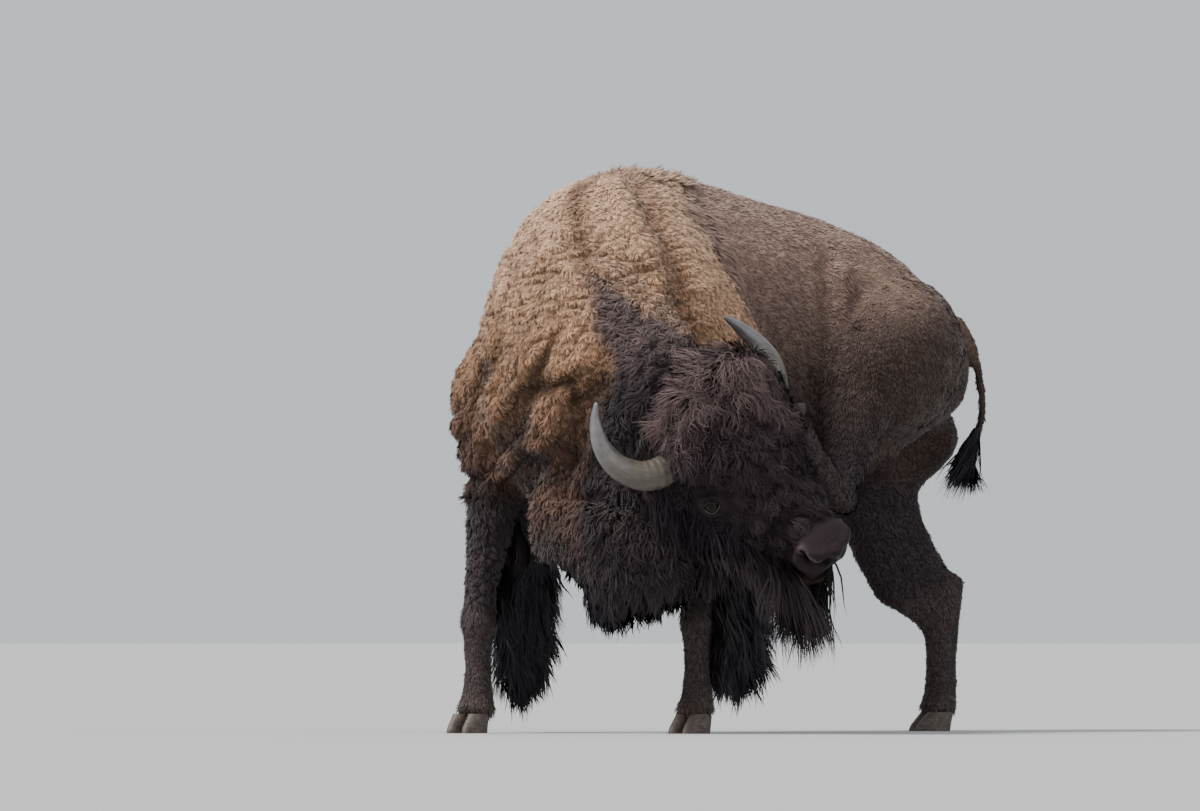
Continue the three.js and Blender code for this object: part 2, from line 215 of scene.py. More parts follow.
# ---- Meshes ----
def make_mesh(name, points, faces, attributes=None, uv=None):
    """An object from arrays: points, triangles or quads, colours of the points, and a map of the points."""
    mesh = bpy.data.meshes.new(name)
    faces = np.asarray(faces, np.int32)
    mesh.vertices.add(len(points))
    mesh.vertices.foreach_set("co", np.asarray(points, np.float32).ravel())
    mesh.loops.add(faces.size)
    mesh.loops.foreach_set("vertex_index", faces.ravel())
    mesh.polygons.add(len(faces))
    mesh.polygons.foreach_set("loop_start", np.arange(0, faces.size, faces.shape[1], dtype=np.int32))
    mesh.polygons.foreach_set("use_smooth", np.ones(len(faces), bool))
    mesh.update(calc_edges=True)
    for key, values in (attributes or {}).items():
        mesh.attributes.new(key, "FLOAT_COLOR", "POINT").data.foreach_set("color", rgba(values).ravel())
    if uv is not None:
        corners = uv[faces.ravel()].astype(np.float32)
        mesh.uv_layers.new(name="OFBake").uv.foreach_set("vector", corners.ravel())
    piece = bpy.data.objects.new(name, mesh)
    bpy.context.scene.collection.objects.link(piece)
    return piece


def rgba(values):
    """Colours with a fourth column of ones."""
    return np.concatenate([values[:, :3], np.ones((len(values), 1))], 1).astype(np.float32)


def finish(piece, material, slot, *nodes):
    """Gives a piece its material, hangs it from the root and hides the solids that it stands for; the slot is
    not used.
    """
    piece.data.materials.clear()
    piece.data.materials.append(material)
    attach(piece, "root")
    if nodes:
        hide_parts(*nodes)


def grid_faces(rings, around):
    """Quads between neighbouring rings of a grid."""
    ring, spot = np.meshgrid(np.arange(rings - 1), np.arange(around), indexing="ij")
    after = (spot + 1) % around
    corners = [ring * around + spot, ring * around + after, (ring + 1) * around + after,
               (ring + 1) * around + spot]
    return np.stack(corners, -1).reshape(-1, 4)


def halves(quads):
    """Quads cut into triangles."""
    return np.concatenate([quads[:, [0, 1, 2]], quads[:, [0, 2, 3]]])


def capped(rings, around):
    """The triangles of a tube of rings, closed by fans about two more points: its start's, then its end's."""
    spot = np.arange(around)
    after = (spot + 1) % around
    last = (rings - 1) * around
    start = np.full(around, rings * around)
    caps = [np.stack([start, after, spot], -1), np.stack([start + 1, last + spot, last + after], -1)]
    return np.concatenate([halves(grid_faces(rings, around)), *caps])


def solid_arrays(node):
    """A solid's points, welded, and its triangles."""
    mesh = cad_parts[node].data
    points = np.empty(len(mesh.vertices) * 3, np.float32)
    mesh.vertices.foreach_get("co", points)
    mesh.calc_loop_triangles()
    faces = np.empty(len(mesh.loop_triangles) * 3, np.int32)
    mesh.loop_triangles.foreach_get("vertices", faces)
    keys, first, place = np.unique(
        np.round(points.reshape(-1, 3) / 1e-5).astype(np.int64), axis=0, return_index=True,
        return_inverse=True
    )
    faces = place.reshape(-1)[faces].reshape(-1, 3)
    whole = (faces[:, 0] != faces[:, 1]) & (faces[:, 1] != faces[:, 2]) & (faces[:, 2] != faces[:, 0])
    return points.reshape(-1, 3)[first].astype(float), faces[whole]


def point_normals(points, faces):
    """Normals of the points of a mesh of triangles, each face counted by its area."""
    a, b, c = (points[faces[:, i]] for i in range(3))
    normal = np.cross(b - a, c - a)
    total = np.stack(
        [np.bincount(faces.ravel(), np.repeat(normal[:, i], 3), len(points)) for i in range(3)], -1
    )
    return unit(total)


class Web:
    """The edges of a mesh, for spreading values over it."""

    def __init__(self, edges, count):
        self.a, self.b = edges[:, 0], edges[:, 1]
        self.count = count
        self.share = 1 / np.maximum(np.bincount(edges.ravel(), minlength=count), 1)

    def spread(self, values):
        """Each value becomes the mean of its neighbours."""
        columns = values.reshape(self.count, -1)
        out = np.empty_like(columns)
        for k in range(columns.shape[1]):
            column = columns[:, k]
            total = np.bincount(self.a, column[self.b], self.count)
            total = total + np.bincount(self.b, column[self.a], self.count)
            out[:, k] = total * self.share
        return out.reshape(values.shape)

    def soften(self, values, times):
        """Each value goes half of the way to that mean, again and again."""
        for _ in range(times):
            values = values + 0.5 * (self.spread(values) - values)
        return values

    def relax(self, points, times, rate, kept):
        """Evens a surface without shrinking it: each step out to the mean is followed by a step back."""
        for _ in range(times):
            points = points + rate * (self.spread(points) - points)
            points = points - kept * rate * (self.spread(points) - points)
        return points


# ---- Zones of the coat ----
# Each zone: its solids, how deep the hide lies in them, the way that the hair lies (back, left, up).
ZONES = {
    "hump": (["shoulders_and_hump"], 0.012, (0.55, 0, -0.8)),
    "neck": (["neck"], 0.022, (0.25, 0, -1)),
    "flank": (["barrel"], 0.012, (0.8, 0, -0.6)),
    "croup": (["rump", "right_thigh"], 0.015, (0.4, 0, -0.9)),
    "thigh": (["left_thigh"], 0.006, (0.1, 0.1, -0.95)),
    "foreleg": (["right_foreleg", "left_foreleg"], 0.014, (0.1, 0, -1)),
    "cannon": (["right_fore_cannon", "left_fore_cannon", "right_hind_cannon"], 0.005, (0, 0, -1)),
    "shank": (["right_shank"], 0.006, (0.2, 0, -1)),
    "lifted_shank": (["left_shank"], 0.007, (-0.37, 0.23, -0.9)),
    "lifted_cannon": (["left_hind_cannon"], 0.005, (-0.8, 0.1, 0.6)),
    "head": (["head"], 0.044, (0, 0, -1)),
    "ear": (["right_ear", "left_ear"], 0.006, (0.3, 0, -0.4)),
    "muzzle": (["muzzle", "chin"], 0.001, (0, 0, -1)),
    "tail": (["tail"], 0.003, (0.1, 0, -1)),
    "scrotum": (["scrotum"], 0.002, (0, 0, -1)),
    "throat": (["throat_mane"], 0.040, (0.1, 0, -1)),
    "right_chaps": (["right_chaps"], 0.044, (0.3, 0, -1)),
    "left_chaps": (["left_chaps"], 0.044, (0.3, 0.1, -1)),
}
ZONE_NAMES = list(ZONES)
FLESH = [node for nodes, _, _ in ZONES.values() for node in nodes]


def zone(*names):
    """The numbers of the named zones."""
    return [ZONE_NAMES.index(name) for name in names]


def part(soft, *names):
    """How much each point belongs to the named zones together."""
    return soft[:, zone(*names)].sum(1)


# Landmarks, as (behind the hump, left of the back, up).
FLANK_FOLD = [(0.80, 0.20, 1.50), (0.763, 0.234, 1.488), (0.728, 0.291, 1.36), (0.640, 0.335, 1.206),
              (0.650, 0.335, 1.168), (0.618, 0.335, 1.008)]
FLANK_FLAP = [(0.86, 0.23, 1.49), (0.83, 0.27, 1.39), (0.76, 0.33, 1.26), (0.73, 0.37, 1.14)]
HIP = [(0.86, 0.20, 1.50), (0.953, 0.239, 1.43), (1.08, 0.22, 1.36)]
BLADE_RIDGE = [(-0.11, 0.10, 1.76), (-0.164, 0.161, 1.687), (-0.195, 0.248, 1.557), (-0.182, 0.316, 1.414),
               (-0.246, 0.443, 1.252)]
BLADE_VALLEY = [(-0.02, 0.15, 1.72), (-0.07, 0.24, 1.60), (-0.08, 0.32, 1.45), (-0.13, 0.38, 1.33),
                (-0.16, 0.43, 1.20)]
CAPE_EDGE_UP = (0.60, 1.00, 1.29, 1.41, 1.53, 1.65, 1.70, 1.80)
CAPE_EDGE_BEHIND = (0.42, 0.43, 0.353, 0.253, 0.180, 0.130, 0.17, 0.30)
NECK_STRIPE = [(-0.05, -0.02, 1.79), (-0.222, 0.013, 1.711), (-0.330, 0.102, 1.546), (-0.435, 0.191, 1.433)]
MANE_EDGE_UP = (0.40, 0.54, 0.67, 0.80, 0.95, 1.05, 1.12, 1.20, 1.30, 1.38, 1.44)
MANE_EDGE_LEFT = (0.22, 0.20, 0.13, 0.11, 0.18, 0.24, 0.27, 0.284, 0.248, 0.216, 0.20)
MANE_TOP_LEFT = (0.20, 0.25, 0.36, 0.42, 0.50)
MANE_TOP_UP = (1.46, 1.42, 1.33, 1.29, 1.25)
# In the head, as (left, forward, out); these are for the left side.
NOSTRIL = [(0.098, 0.512, 0.016), (0.088, 0.528, 0.000), (0.072, 0.545, -0.010), (0.052, 0.560, -0.010),
           (0.034, 0.568, 0.002)]
NOSTRIL_RIM = [(0.098, 0.498, 0.040), (0.080, 0.530, 0.040), (0.052, 0.552, 0.036), (0.024, 0.562, 0.036),
               (0.0, 0.564, 0.036)]
NOSTRIL_SILL = [(0.098, 0.500, -0.022), (0.076, 0.535, -0.042), (0.046, 0.560, -0.042)]
MOUTH = [(0.0, 0.566, -0.122), (0.040, 0.556, -0.122), (0.070, 0.512, -0.124), (0.084, 0.450, -0.122),
         (0.090, 0.390, -0.112)]
LOWER_LIP = [(0.050, 0.530, -0.150), (0.0, 0.550, -0.154)]
PHILTRUM = [(0.0, 0.575, -0.012), (0.0, 0.578, -0.060), (0.0, 0.570, -0.116)]


# Strokes that raise the hide along a path, or with a minus lower it: the path, its reach and the height.
BODY_STROKES = [(FLANK_FOLD, 0.034, -0.024), (FLANK_FLAP, 0.036, 0.016), (HIP, 0.06, 0.012),
                (BLADE_RIDGE, 0.038, 0.024), (BLADE_VALLEY, 0.050, -0.030)]
FACE_STROKES = [(NOSTRIL_RIM, 0.017, 0.012), (NOSTRIL, 0.0150, -0.044), (NOSTRIL_SILL, 0.013, 0.006),
                (MOUTH, 0.0075, -0.018), (LOWER_LIP, 0.016, 0.007)]


def mirror(path):
    """A path of the head's left side on its right."""
    return [(-left, forward, out) for left, forward, out in path]


class BISON_PG_colours(bpy.types.PropertyGroup):
    """Colours of the hide, hair, horn and eyes."""


class BISON_PG_sizes(bpy.types.PropertyGroup):
    """Sizes of the hide's mesh and of the hair."""


COLOURS = {
    "cape_top": ("Cape, top", "Sun-bleached wool of the hump", "#cfa585"),
    "cape_tan": ("Cape, middle", "Tan wool of the shoulders", "#ab8263"),
    "cape_rust": ("Cape, lower", "Red-brown wool low on the shoulders", "#70503f"),
    "cape_dark": ("Cape, bottom", "Dark wool above the forelegs", "#2b1e1c"),
    "crest": ("Crest", "Longer hair on the ridge of the hump", "#7a5946"),
    "flank_top": ("Back", "Short hair along the back", "#977b6c"),
    "flank": ("Flank", "Short hair of the flank", "#6e584e"),
    "haunch": ("Haunch", "Short hair of the thigh", "#43352f"),
    "leg": ("Legs", "Hair of the legs", "#352b2d"),
    "leg_low": ("Lower legs", "Hair below the knees and hocks", "#453a39"),
    "bonnet": ("Bonnet", "Hair of the head", "#30262a"),
    # This pale colour is partly bleached hair and partly painted sheen on the lit top of the head.
    "bonnet_light": ("Bonnet, bleached", "Bleached locks on top of the head", "#665452"),
    "black": ("Long hair", "Beard, throat mane and chaps", "#1c181f"),
    "bare": ("Bare skin", "Muzzle and lids", "#251d1e"),
    "bare_brown": ("Lips", "Lower lip and chin", "#352825"),
    "hairless": ("Scrotum", "Thinly haired skin", "#3d2f2b"),
    "horn_base": ("Horn, base", "Old horn", "#50483e"),
    # The tip's pale grey is partly a painted reflection of the sky on the polished horn.
    "horn_tip": ("Horn, tip", "Polished horn", "#6a686b"),
    "hoof": ("Hoof", "Wall of the hooves", "#4c4039"),
    "lid_rim": ("Lid margin", "Margin of the lower lid", "#5c5252"),
    "iris": ("Iris", "Brown of the eye", "#160b07"),
    "floor": ("Floor", "Pale plain floor", "#b4b3b1"),
}
SIZES = {
    "voxel": ("Hide grain", "Size of the hide's faces", 0.0152),
    "wool": ("Wool", "Length of the cape's wool", 0.017),
    "short": ("Short coat", "Length of the flank's hair", 0.017),
    "bonnet": ("Bonnet", "Length of the hair on the head", 0.085),
    "locks": ("Long locks", "Length of the beard, mane and chaps", 0.15),
}
for key, (label, words, text) in COLOURS.items():
    BISON_PG_colours.__annotations__[key] = bpy.props.FloatVectorProperty(
        name=label, description=words, subtype="COLOR", size=4, min=0, max=1, default=colour(text)
    )
for key, (label, words, size) in SIZES.items():
    BISON_PG_sizes.__annotations__[key] = bpy.props.FloatProperty(
        name=label, description=words, subtype="DISTANCE", unit="LENGTH", min=0, default=size
    )


def paint(key):
    """A colour of the settings as red, green and blue."""
    return np.array(getattr(bpy.context.scene.bison_colours, key))[:3]


def size_of(key):
    """A size of the settings, in metres."""
    return getattr(bpy.context.scene.bison_sizes, key)


# ---- Materials ----
def add_node(tree, kind, links=None, **settings):
    """A node with its settings. Links name an input and the output, or the value, that goes into it."""
    node = tree.nodes.new(kind)
    for key, value in settings.items():
        setattr(node, key, value)
    for key, value in (links or {}).items():
        if isinstance(value, bpy.types.NodeSocket):
            tree.links.new(value, node.inputs[key])
        else:
            node.inputs[key].default_value = value
    return node


def new_material(name, **shader):
    """An empty material with its shader's fixed values set. Gives the material, its tree and the shader."""
    material = bpy.data.materials.new(name)
    material.use_nodes = True
    tree = material.node_tree
    tree.nodes.clear()
    bsdf = add_node(tree, "ShaderNodeBsdfPrincipled",
                    {key.replace("_", " "): value for key, value in shader.items()})
    add_node(tree, "ShaderNodeOutputMaterial", {"Surface": bsdf.outputs[0]})
    return material, tree, bsdf


def tinted(tree, shade, factor, socket):
    """Multiplies a colour by a grey factor, into a socket."""
    mixed = add_node(tree, "ShaderNodeMix", {0: 1.0, 6: shade, 7: factor}, data_type="RGBA",
                     blend_type="MULTIPLY")
    tree.links.new(mixed.outputs[2], socket)


def coat_material(name, grain, **shader):
    """Hair of one part of the coat: its painted colour, a little uneven from lock to lock, and lit by the lie
    of the coat rather than by each flat blade, so that it looks soft."""
    material, tree, bsdf = new_material(name, **shader)
    place = add_node(tree, "ShaderNodeTexCoord").outputs["Object"]
    painted = add_node(tree, "ShaderNodeAttribute", attribute_name="coat").outputs["Color"]
    patches = add_node(tree, "ShaderNodeTexNoise", {"Vector": place, "Scale": 1 / grain, "Detail": 3.0})
    shade = add_node(tree, "ShaderNodeMapRange",
                     {"Value": patches.outputs["Fac"], "To Min": 0.72, "To Max": 1.28})
    tinted(tree, painted, shade.outputs[0], bsdf.inputs["Base Color"])
    nap = add_node(tree, "ShaderNodeAttribute", attribute_name="nap")
    tree.links.new(nap.outputs["Vector"], bsdf.inputs["Normal"])
    return material


# ---- The hide ----
SWELL = 0.0012  # how much each solid swells before they are joined
SOCKET_REACH = 0.034  # how far from the line of sight the hide is held level at the eye
FILL_ROUNDS = 240


def voxel_union(nodes, size):
    """One closed surface round several solids: all are joined, a little swollen, and remeshed."""
    points, faces, total = [], [], 0
    for node in nodes:
        at, tri = solid_arrays(node)
        points.append(at + SWELL * point_normals(at, tri))
        faces.append(tri + total)
        total += len(at)
    piece = make_mesh("union", np.concatenate(points), np.concatenate(faces))
    remesh = piece.modifiers.new("Remesh", "REMESH")
    remesh.mode = "VOXEL"
    remesh.voxel_size = size
    shape = bpy.data.meshes.new_from_object(piece.evaluated_get(bpy.context.evaluated_depsgraph_get()))
    bpy.data.objects.remove(piece)
    return shape


def keep_largest(mesh):
    """Deletes all but the largest connected part."""
    bm = bmesh.new()
    bm.from_mesh(mesh)
    seen, parts = set(), []
    for start in bm.verts:
        if start in seen:
            continue
        part, queue = [], [start]
        seen.add(start)
        while queue:
            spot = queue.pop()
            part.append(spot)
            for edge in spot.link_edges:
                other = edge.other_vert(spot)
                if other not in seen:
                    seen.add(other)
                    queue.append(other)
        parts.append(part)
    parts.sort(key=len)
    for part in parts[:-1]:
        bmesh.ops.delete(bm, geom=part, context="VERTS")
    bm.to_mesh(mesh)
    bm.free()


def refine(mesh, rounds):
    """Halves the edges where a round's function of the points is true, round by round; leaves triangles."""
    bm = bmesh.new()
    bm.from_mesh(mesh)
    for chosen in rounds:
        near = chosen(np.array([vert.co for vert in bm.verts]))
        bm.verts.index_update()
        edges = [edge for edge in bm.edges if near[edge.verts[0].index] and near[edge.verts[1].index]]
        bmesh.ops.subdivide_edges(bm, edges=edges, cuts=1, use_grid_fill=True)
    bmesh.ops.triangulate(bm, faces=bm.faces)
    bm.to_mesh(mesh)
    bm.free()


def mesh_arrays(mesh):
    """A mesh's points, its triangles and its edges."""
    points = np.empty(len(mesh.vertices) * 3, np.float32)
    mesh.vertices.foreach_get("co", points)
    mesh.calc_loop_triangles()
    faces = np.empty(len(mesh.loop_triangles) * 3, np.int32)
    mesh.loop_triangles.foreach_get("vertices", faces)
    edges = np.empty(len(mesh.edges) * 2, np.int32)
    mesh.edges.foreach_get("vertices", edges)
    return points.reshape(-1, 3).astype(float), faces.reshape(-1, 3), edges.reshape(-1, 2)


def nearest_zone(points):
    """For each point, the zone of the solid that it lies nearest to."""
    corners, faces, zones, total = [], [], [], 0
    for index, (nodes, _, _) in enumerate(ZONES.values()):
        for node in nodes:
            at, tri = solid_arrays(node)
            corners.append(at)
            faces.append(tri + total)
            zones.append(np.full(len(tri), index))
            total += len(at)
    tree = BVHTree.FromPolygons(np.concatenate(corners).tolist(), np.concatenate(faces).tolist())
    zones = np.concatenate(zones)
    return np.array([zones[tree.find_nearest(point)[2]] for point in points.tolist()])


def snap(points, path):
    """A path with each corner moved to the nearest point."""
    return np.array([points[np.argmin(np.linalg.norm(points - spot, axis=1))] for spot in np.asarray(path)])


def brush(points, path, reach, lift):
    """How far a stroke lifts each point: lift, falling off as exp(-(distance / reach)^2) from the path, whose
    corners are first moved to the nearest points."""
    return lift * bell(to_path(points, snap(points, path)), 0, reach)


def strokes(points, path, reach, lift):
    """The same stroke on both sides of the head."""
    return brush(points, head(path), reach, lift) + brush(points, head(mirror(path)), reach, lift)


def fold_field(points):
    """0 along the creases of the neck and shoulders and 1 on the folds between them. A crease is where noise
    that is stretched down and forward changes sign, so creases are long, wavy and branching."""
    bent = points + 0.014 * np.stack([noise(points, 0.09, 40 + k) for k in range(3)], -1)

    def field(across, apart, length, sharp, seed):
        across = unit(np.array(across))
        along = unit(np.cross(across, (-0.82, 0.57, 0.0)))
        spots = np.stack([bent @ across / apart, bent @ along / length,
                          bent @ np.cross(across, along) / length], -1)
        return np.clip(np.abs(noise(spots, 1.0, seed)) / sharp, 0, 1)

    up = ease(1.10, 1.40, points[:, 2])
    wide = field((0.50, 0.71, -0.50), 0.050, 0.24, 0.42, 3)
    fine = field((0.45, 0.64, -0.62), 0.024, 0.11, 0.35, 8)
    ripple = field((0.10, 0.15, -1.0), 0.019, 0.09, 0.40, 9)
    return (1 - up) * wide * (0.6 + 0.4 * fine) + up * (0.45 + 0.55 * ripple)


def folded_share(places, soft):
    """Where the wool lies in folds: the neck and the front of the shoulders, below the hump's top."""
    share = part(soft, "hump", "neck") + 0.6 * part(soft, "throat", "foreleg")
    share = share * (1 - 0.6 * mane_share(body(places)))
    behind, up = places[:, 0], places[:, 2]
    return share * ease(0.10, -0.10, behind) * ease(1.72, 1.45, up) * ease(0.55, 0.8, up)


def crease_depth(points, soft):
    """1 in the deepest creases of the folds, 0 outside them."""
    return folded_share(in_body(points), soft) * (1 - fold_field(points))


def cape_share(places):
    """1 on the woolly cape, 0 on the short coat behind its edge."""
    edge = np.interp(places[:, 2], CAPE_EDGE_UP, CAPE_EDGE_BEHIND)
    return ease(0.022, -0.022, places[:, 0] - edge + 0.016 * noise(places, 0.05, 21))


def mane_share(points):
    """1 on the dark mane, which lies round the neck next to the head."""
    behind, left, up = in_body(points).T
    ragged = 0.016 * noise(points, 0.05, 23) + 0.02 * noise(points, 0.16, 1)
    past = left - np.interp(up, MANE_EDGE_UP, MANE_EDGE_LEFT) + ragged
    below = np.interp(left, MANE_TOP_LEFT, MANE_TOP_UP) - up + ragged
    return ease(-0.055, 0.045, past) * ease(-0.04, 0.04, below) * ease(-0.10, -0.20, behind)


def markings(points, soft):
    """The coat's colours: a run of colours by height for each part, mixed where the parts meet. Painted shade
    darkens the creases of the folds, the valley by the shoulder blade, the nostrils and the mouth. Painted
    highlights lie on the ridge of the shoulder blade and on the nostrils' rims, and painted sheen goes with
    the bleached locks on top of the head.
    """
    places, spots = in_body(points), in_head(points)
    behind, left, up = places.T
    forward, out = spots[:, 1], spots[:, 2]
    patchy = 0.05 * noise(points, 0.16, 1) + 0.03 * noise(points, 0.05, 2)

    def run(stops, by):
        heights = [height for height, _ in stops]
        shades = np.array([paint(key) for _, key in stops])
        return np.stack([np.interp(by, heights, shades[:, k]) for k in range(3)], -1)

    def near(path, reach):
        return bell(to_path(points, body(path)), 0, reach)

    cape = run([(0.50, "black"), (0.69, "cape_dark"), (0.92, "cape_rust"), (1.19, "cape_tan"),
                (1.50, "cape_top")], up + 1.4 * patchy)
    # Painted shade and painted highlight: the valley beside the shoulder blade takes the crest's darker
    # colour, and its ridge takes the pale colour of the cape's top.
    cape = mix(cape, paint("crest"), 0.6 * near(BLADE_VALLEY, 0.055))
    cape = mix(cape, paint("cape_top"), 0.5 * near(BLADE_RIDGE, 0.035) * ease(1.2, 1.4, up))
    coat = run([(0.80, "leg"), (1.12, "haunch"), (1.36, "flank"), (1.62, "flank_top")], up + patchy)
    haunch = part(soft, "croup", "thigh")
    coat = mix(coat, paint("haunch"), haunch * ease(1.38, 1.24, up) * 0.8)
    wool = part(soft, "hump", "neck", "flank", "throat", "foreleg", "croup")
    share = cape_share(places) * wool * ease(0.56, 0.78, up)
    tint = mix(coat, cape, share)
    crest = bell(left, 0, 0.085) * ease(-0.12, 0.02, behind) * ease(0.36, 0.30, behind) * ease(1.6, 1.72, up)
    tint = mix(tint, paint("crest"), 0.85 * crest)
    tint = mix(tint, paint("crest") * 0.7, 0.75 * near(NECK_STRIPE, 0.032) * (1 - haunch))
    mane = mane_share(points)
    dark = mix(np.broadcast_to(paint("bonnet"), tint.shape), paint("bonnet_light"),
               0.9 * ease(1.06, 1.26, up))
    tint = mix(tint, dark, mane * part(soft, "hump", "neck", "throat"))
    legs = part(soft, "cannon", "lifted_cannon")
    tint = mix(tint, paint("leg"), part(soft, "shank", "lifted_shank") * ease(0.98, 0.80, up))
    tint = mix(tint, paint("leg"), part(soft, "foreleg", "hump", "neck") * ease(0.88, 0.62, up + patchy))
    tint = mix(tint, paint("leg_low"), legs)
    tint = mix(tint, paint("hoof") * 1.3, 0.6 * ease(0.16, 0.05, points[:, 2]))
    # The top of the head and the poll are paler: partly bleached locks, partly painted sheen where the light
    # falls on the top.
    streak = noise(np.stack([spots[:, 0] / 0.016, forward / 0.06, out / 0.05], -1), 1.0, 5)
    bleached = ease(-0.10, 0.12, spots[:, 0]) * ease(0.04, 0.15, out)
    bleached = bleached * (0.40 + 0.60 * streak) * ease(0.30, 0.02, forward)
    crown = mix(np.broadcast_to(paint("bonnet"), tint.shape), paint("bonnet_light"), np.clip(bleached, 0, 1))
    crown = mix(crown, paint("bonnet_light"), 0.7 * ease(0.08, -0.06, forward) * ease(0.02, 0.12, out))
    crown = mix(crown, paint("black"), 0.75 * ease(0.04, -0.10, out))
    tint = mix(tint, crown, part(soft, "head"))
    tint = mix(tint, paint("bonnet") * 1.6, part(soft, "ear"))
    deep = run([(0.40, "black"), (0.56, "cape_dark"), (0.85, "cape_rust")], up + patchy)
    deep = mix(deep, paint("bonnet") * 0.7, 0.9 * mane)
    tint = mix(tint, deep, part(soft, "throat"))
    tint = mix(tint, paint("black"), part(soft, "right_chaps", "left_chaps"))
    tint = mix(tint, paint("hairless"), part(soft, "scrotum"))
    lips = mix(np.broadcast_to(paint("bare"), tint.shape), paint("bare_brown"), ease(-0.080, -0.110, out))
    # Painted highlight: a pale band, six times the bare skin's colour, along each nostril's upper rim, as on
    # wet skin.
    for path in (NOSTRIL, mirror(NOSTRIL)):
        off = to_path(points, snap(points, head(path)))
        lips = mix(lips, 6 * paint("bare"), 0.8 * bell(off, 0.021, 0.006) * ease(0.0, 0.014, out))
    # Painted shade: the nostrils and the slit of the mouth are darkened almost to black.
    for line, reach in ((NOSTRIL, 0.015), (MOUTH, 0.007)):
        for path in (line, mirror(line)):
            off = to_path(points, snap(points, head(path)))
            lips = lips * (1 - 0.97 * np.exp(-((off / reach) ** 4)))[:, None]
    tint = mix(tint, lips, bare_share(spots, soft))
    # Painted shade: the colours are darkened by up to 0.85 in the creases of the folds.
    return np.clip(tint * (1 - 0.85 * crease_depth(points, soft))[:, None], 0, 1)


def eye_reach(points):
    """How far each point is from the nearer eye, with the long way of the opening drawn in."""
    reach = []
    for side in (1, -1):
        middle, gaze, long, short = eye_frame(side)
        off = points - middle
        reach.append(np.sqrt((off @ long / 1.35) ** 2 + (off @ short) ** 2 + (off @ gaze) ** 2))
    return np.minimum(*reach)


def bare_share(spots, soft):
    """1 on bare skin: the muzzle, the lips, and an oval round each eye."""
    pad = np.maximum(ease(0.455, 0.495, spots[:, 1]) * ease(0.052, 0.032, spots[:, 2]),
                     ease(0.535, 0.565, spots[:, 1]))
    pad = pad * part(soft, "muzzle")
    return np.clip(pad + ease(0.041, 0.031, eye_reach(head(spots))), 0, 1)


def eye_frame(side):
    """The middle of an eyeball, the way that it looks, and the long and the short way of its opening."""
    middle = head(EYE * (side, 1, 1))
    gaze = unit(np.array((side * 0.80, 0.40, 0.42)))
    tilt = math.radians(50)
    long = np.array((0, math.cos(tilt), math.sin(tilt)))
    long = unit(long - (long @ gaze) * gaze)
    short = np.cross(gaze, long) * side
    return middle, gaze @ HEAD_AXES, long @ HEAD_AXES, short @ HEAD_AXES


LID_LONG, LID_SHORT = 0.0262, 0.0182  # half the opening's length and height
LID_LEVEL = 0.0075  # how far out from the eye's middle the skin round it lies
LID_THICK = 0.0028  # from the eyeball to the skin of the lids
LID_TAPER = 0.32  # how much lower the opening is at its corners


def opening(along, across):
    """How far out a spot is from the middle of the lids' opening: 1 on its almond-shaped edge."""
    taper = 1 - LID_TAPER * np.clip(np.abs(along) / LID_LONG, 0, 1) ** 2
    return np.hypot(along / LID_LONG, across / (LID_SHORT * taper))


def coat_depth(points, soft):
    """How far the hide lies inside the solids: each part's own depth, less on the face, more where the long
    wool of the cape stands over the short coat."""
    places, spots = in_body(points), in_head(points)
    depth = soft @ np.array([drawn for _, drawn, _ in ZONES.values()])
    behind_edge = places[:, 0] - np.interp(places[:, 2], CAPE_EDGE_UP, CAPE_EDGE_BEHIND)
    depth += 0.012 * (1 - cape_share(places)) * ease(0.30, 0.05, behind_edge) * part(soft, "flank", "hump")
    face = part(soft, "head")
    return depth - face * (0.026 * ease(0.28, 0.42, spots[:, 1]) + 0.010 * ease(0.0, -0.08, spots[:, 2]))


def fill_sockets(points, soft, web):
    """Draws the hide level round the eyes, over the roots of the horns and where the throat meets the neck:
    those points are put again and again at the mean of their neighbours."""
    throat = web.soften(part(soft, "throat"), 60)
    free = (throat > 0.04) & (throat < 0.80) & (in_body(points)[:, 2] > 0.50)
    face, spots = web.soften(part(soft, "head"), 60), in_head(points)
    free |= (face > 0.03) & (face < 0.75) & (spots[:, 2] > -0.02) & (spots[:, 1] < 0.02)
    held = np.zeros(len(points), bool)
    for side in (1, -1):
        middle, gaze, long, short = eye_frame(side)
        off = points - middle
        height = off @ gaze
        aside = np.linalg.norm(off - height[:, None] * gaze, axis=1)
        inner = (aside < SOCKET_REACH) & (np.abs(height) < 0.10)
        points = points + np.where(inner, LID_LEVEL - height, 0)[:, None] * gaze
        held |= inner
        free |= np.linalg.norm(off, axis=1) < 0.13
        free |= np.linalg.norm(points - head(HORN_ROOT * (side, 1, 1)), axis=1) < 0.105
    free &= ~held
    for _ in range(FILL_ROUNDS):
        points = np.where(free[:, None], web.spread(points), points)
    return points


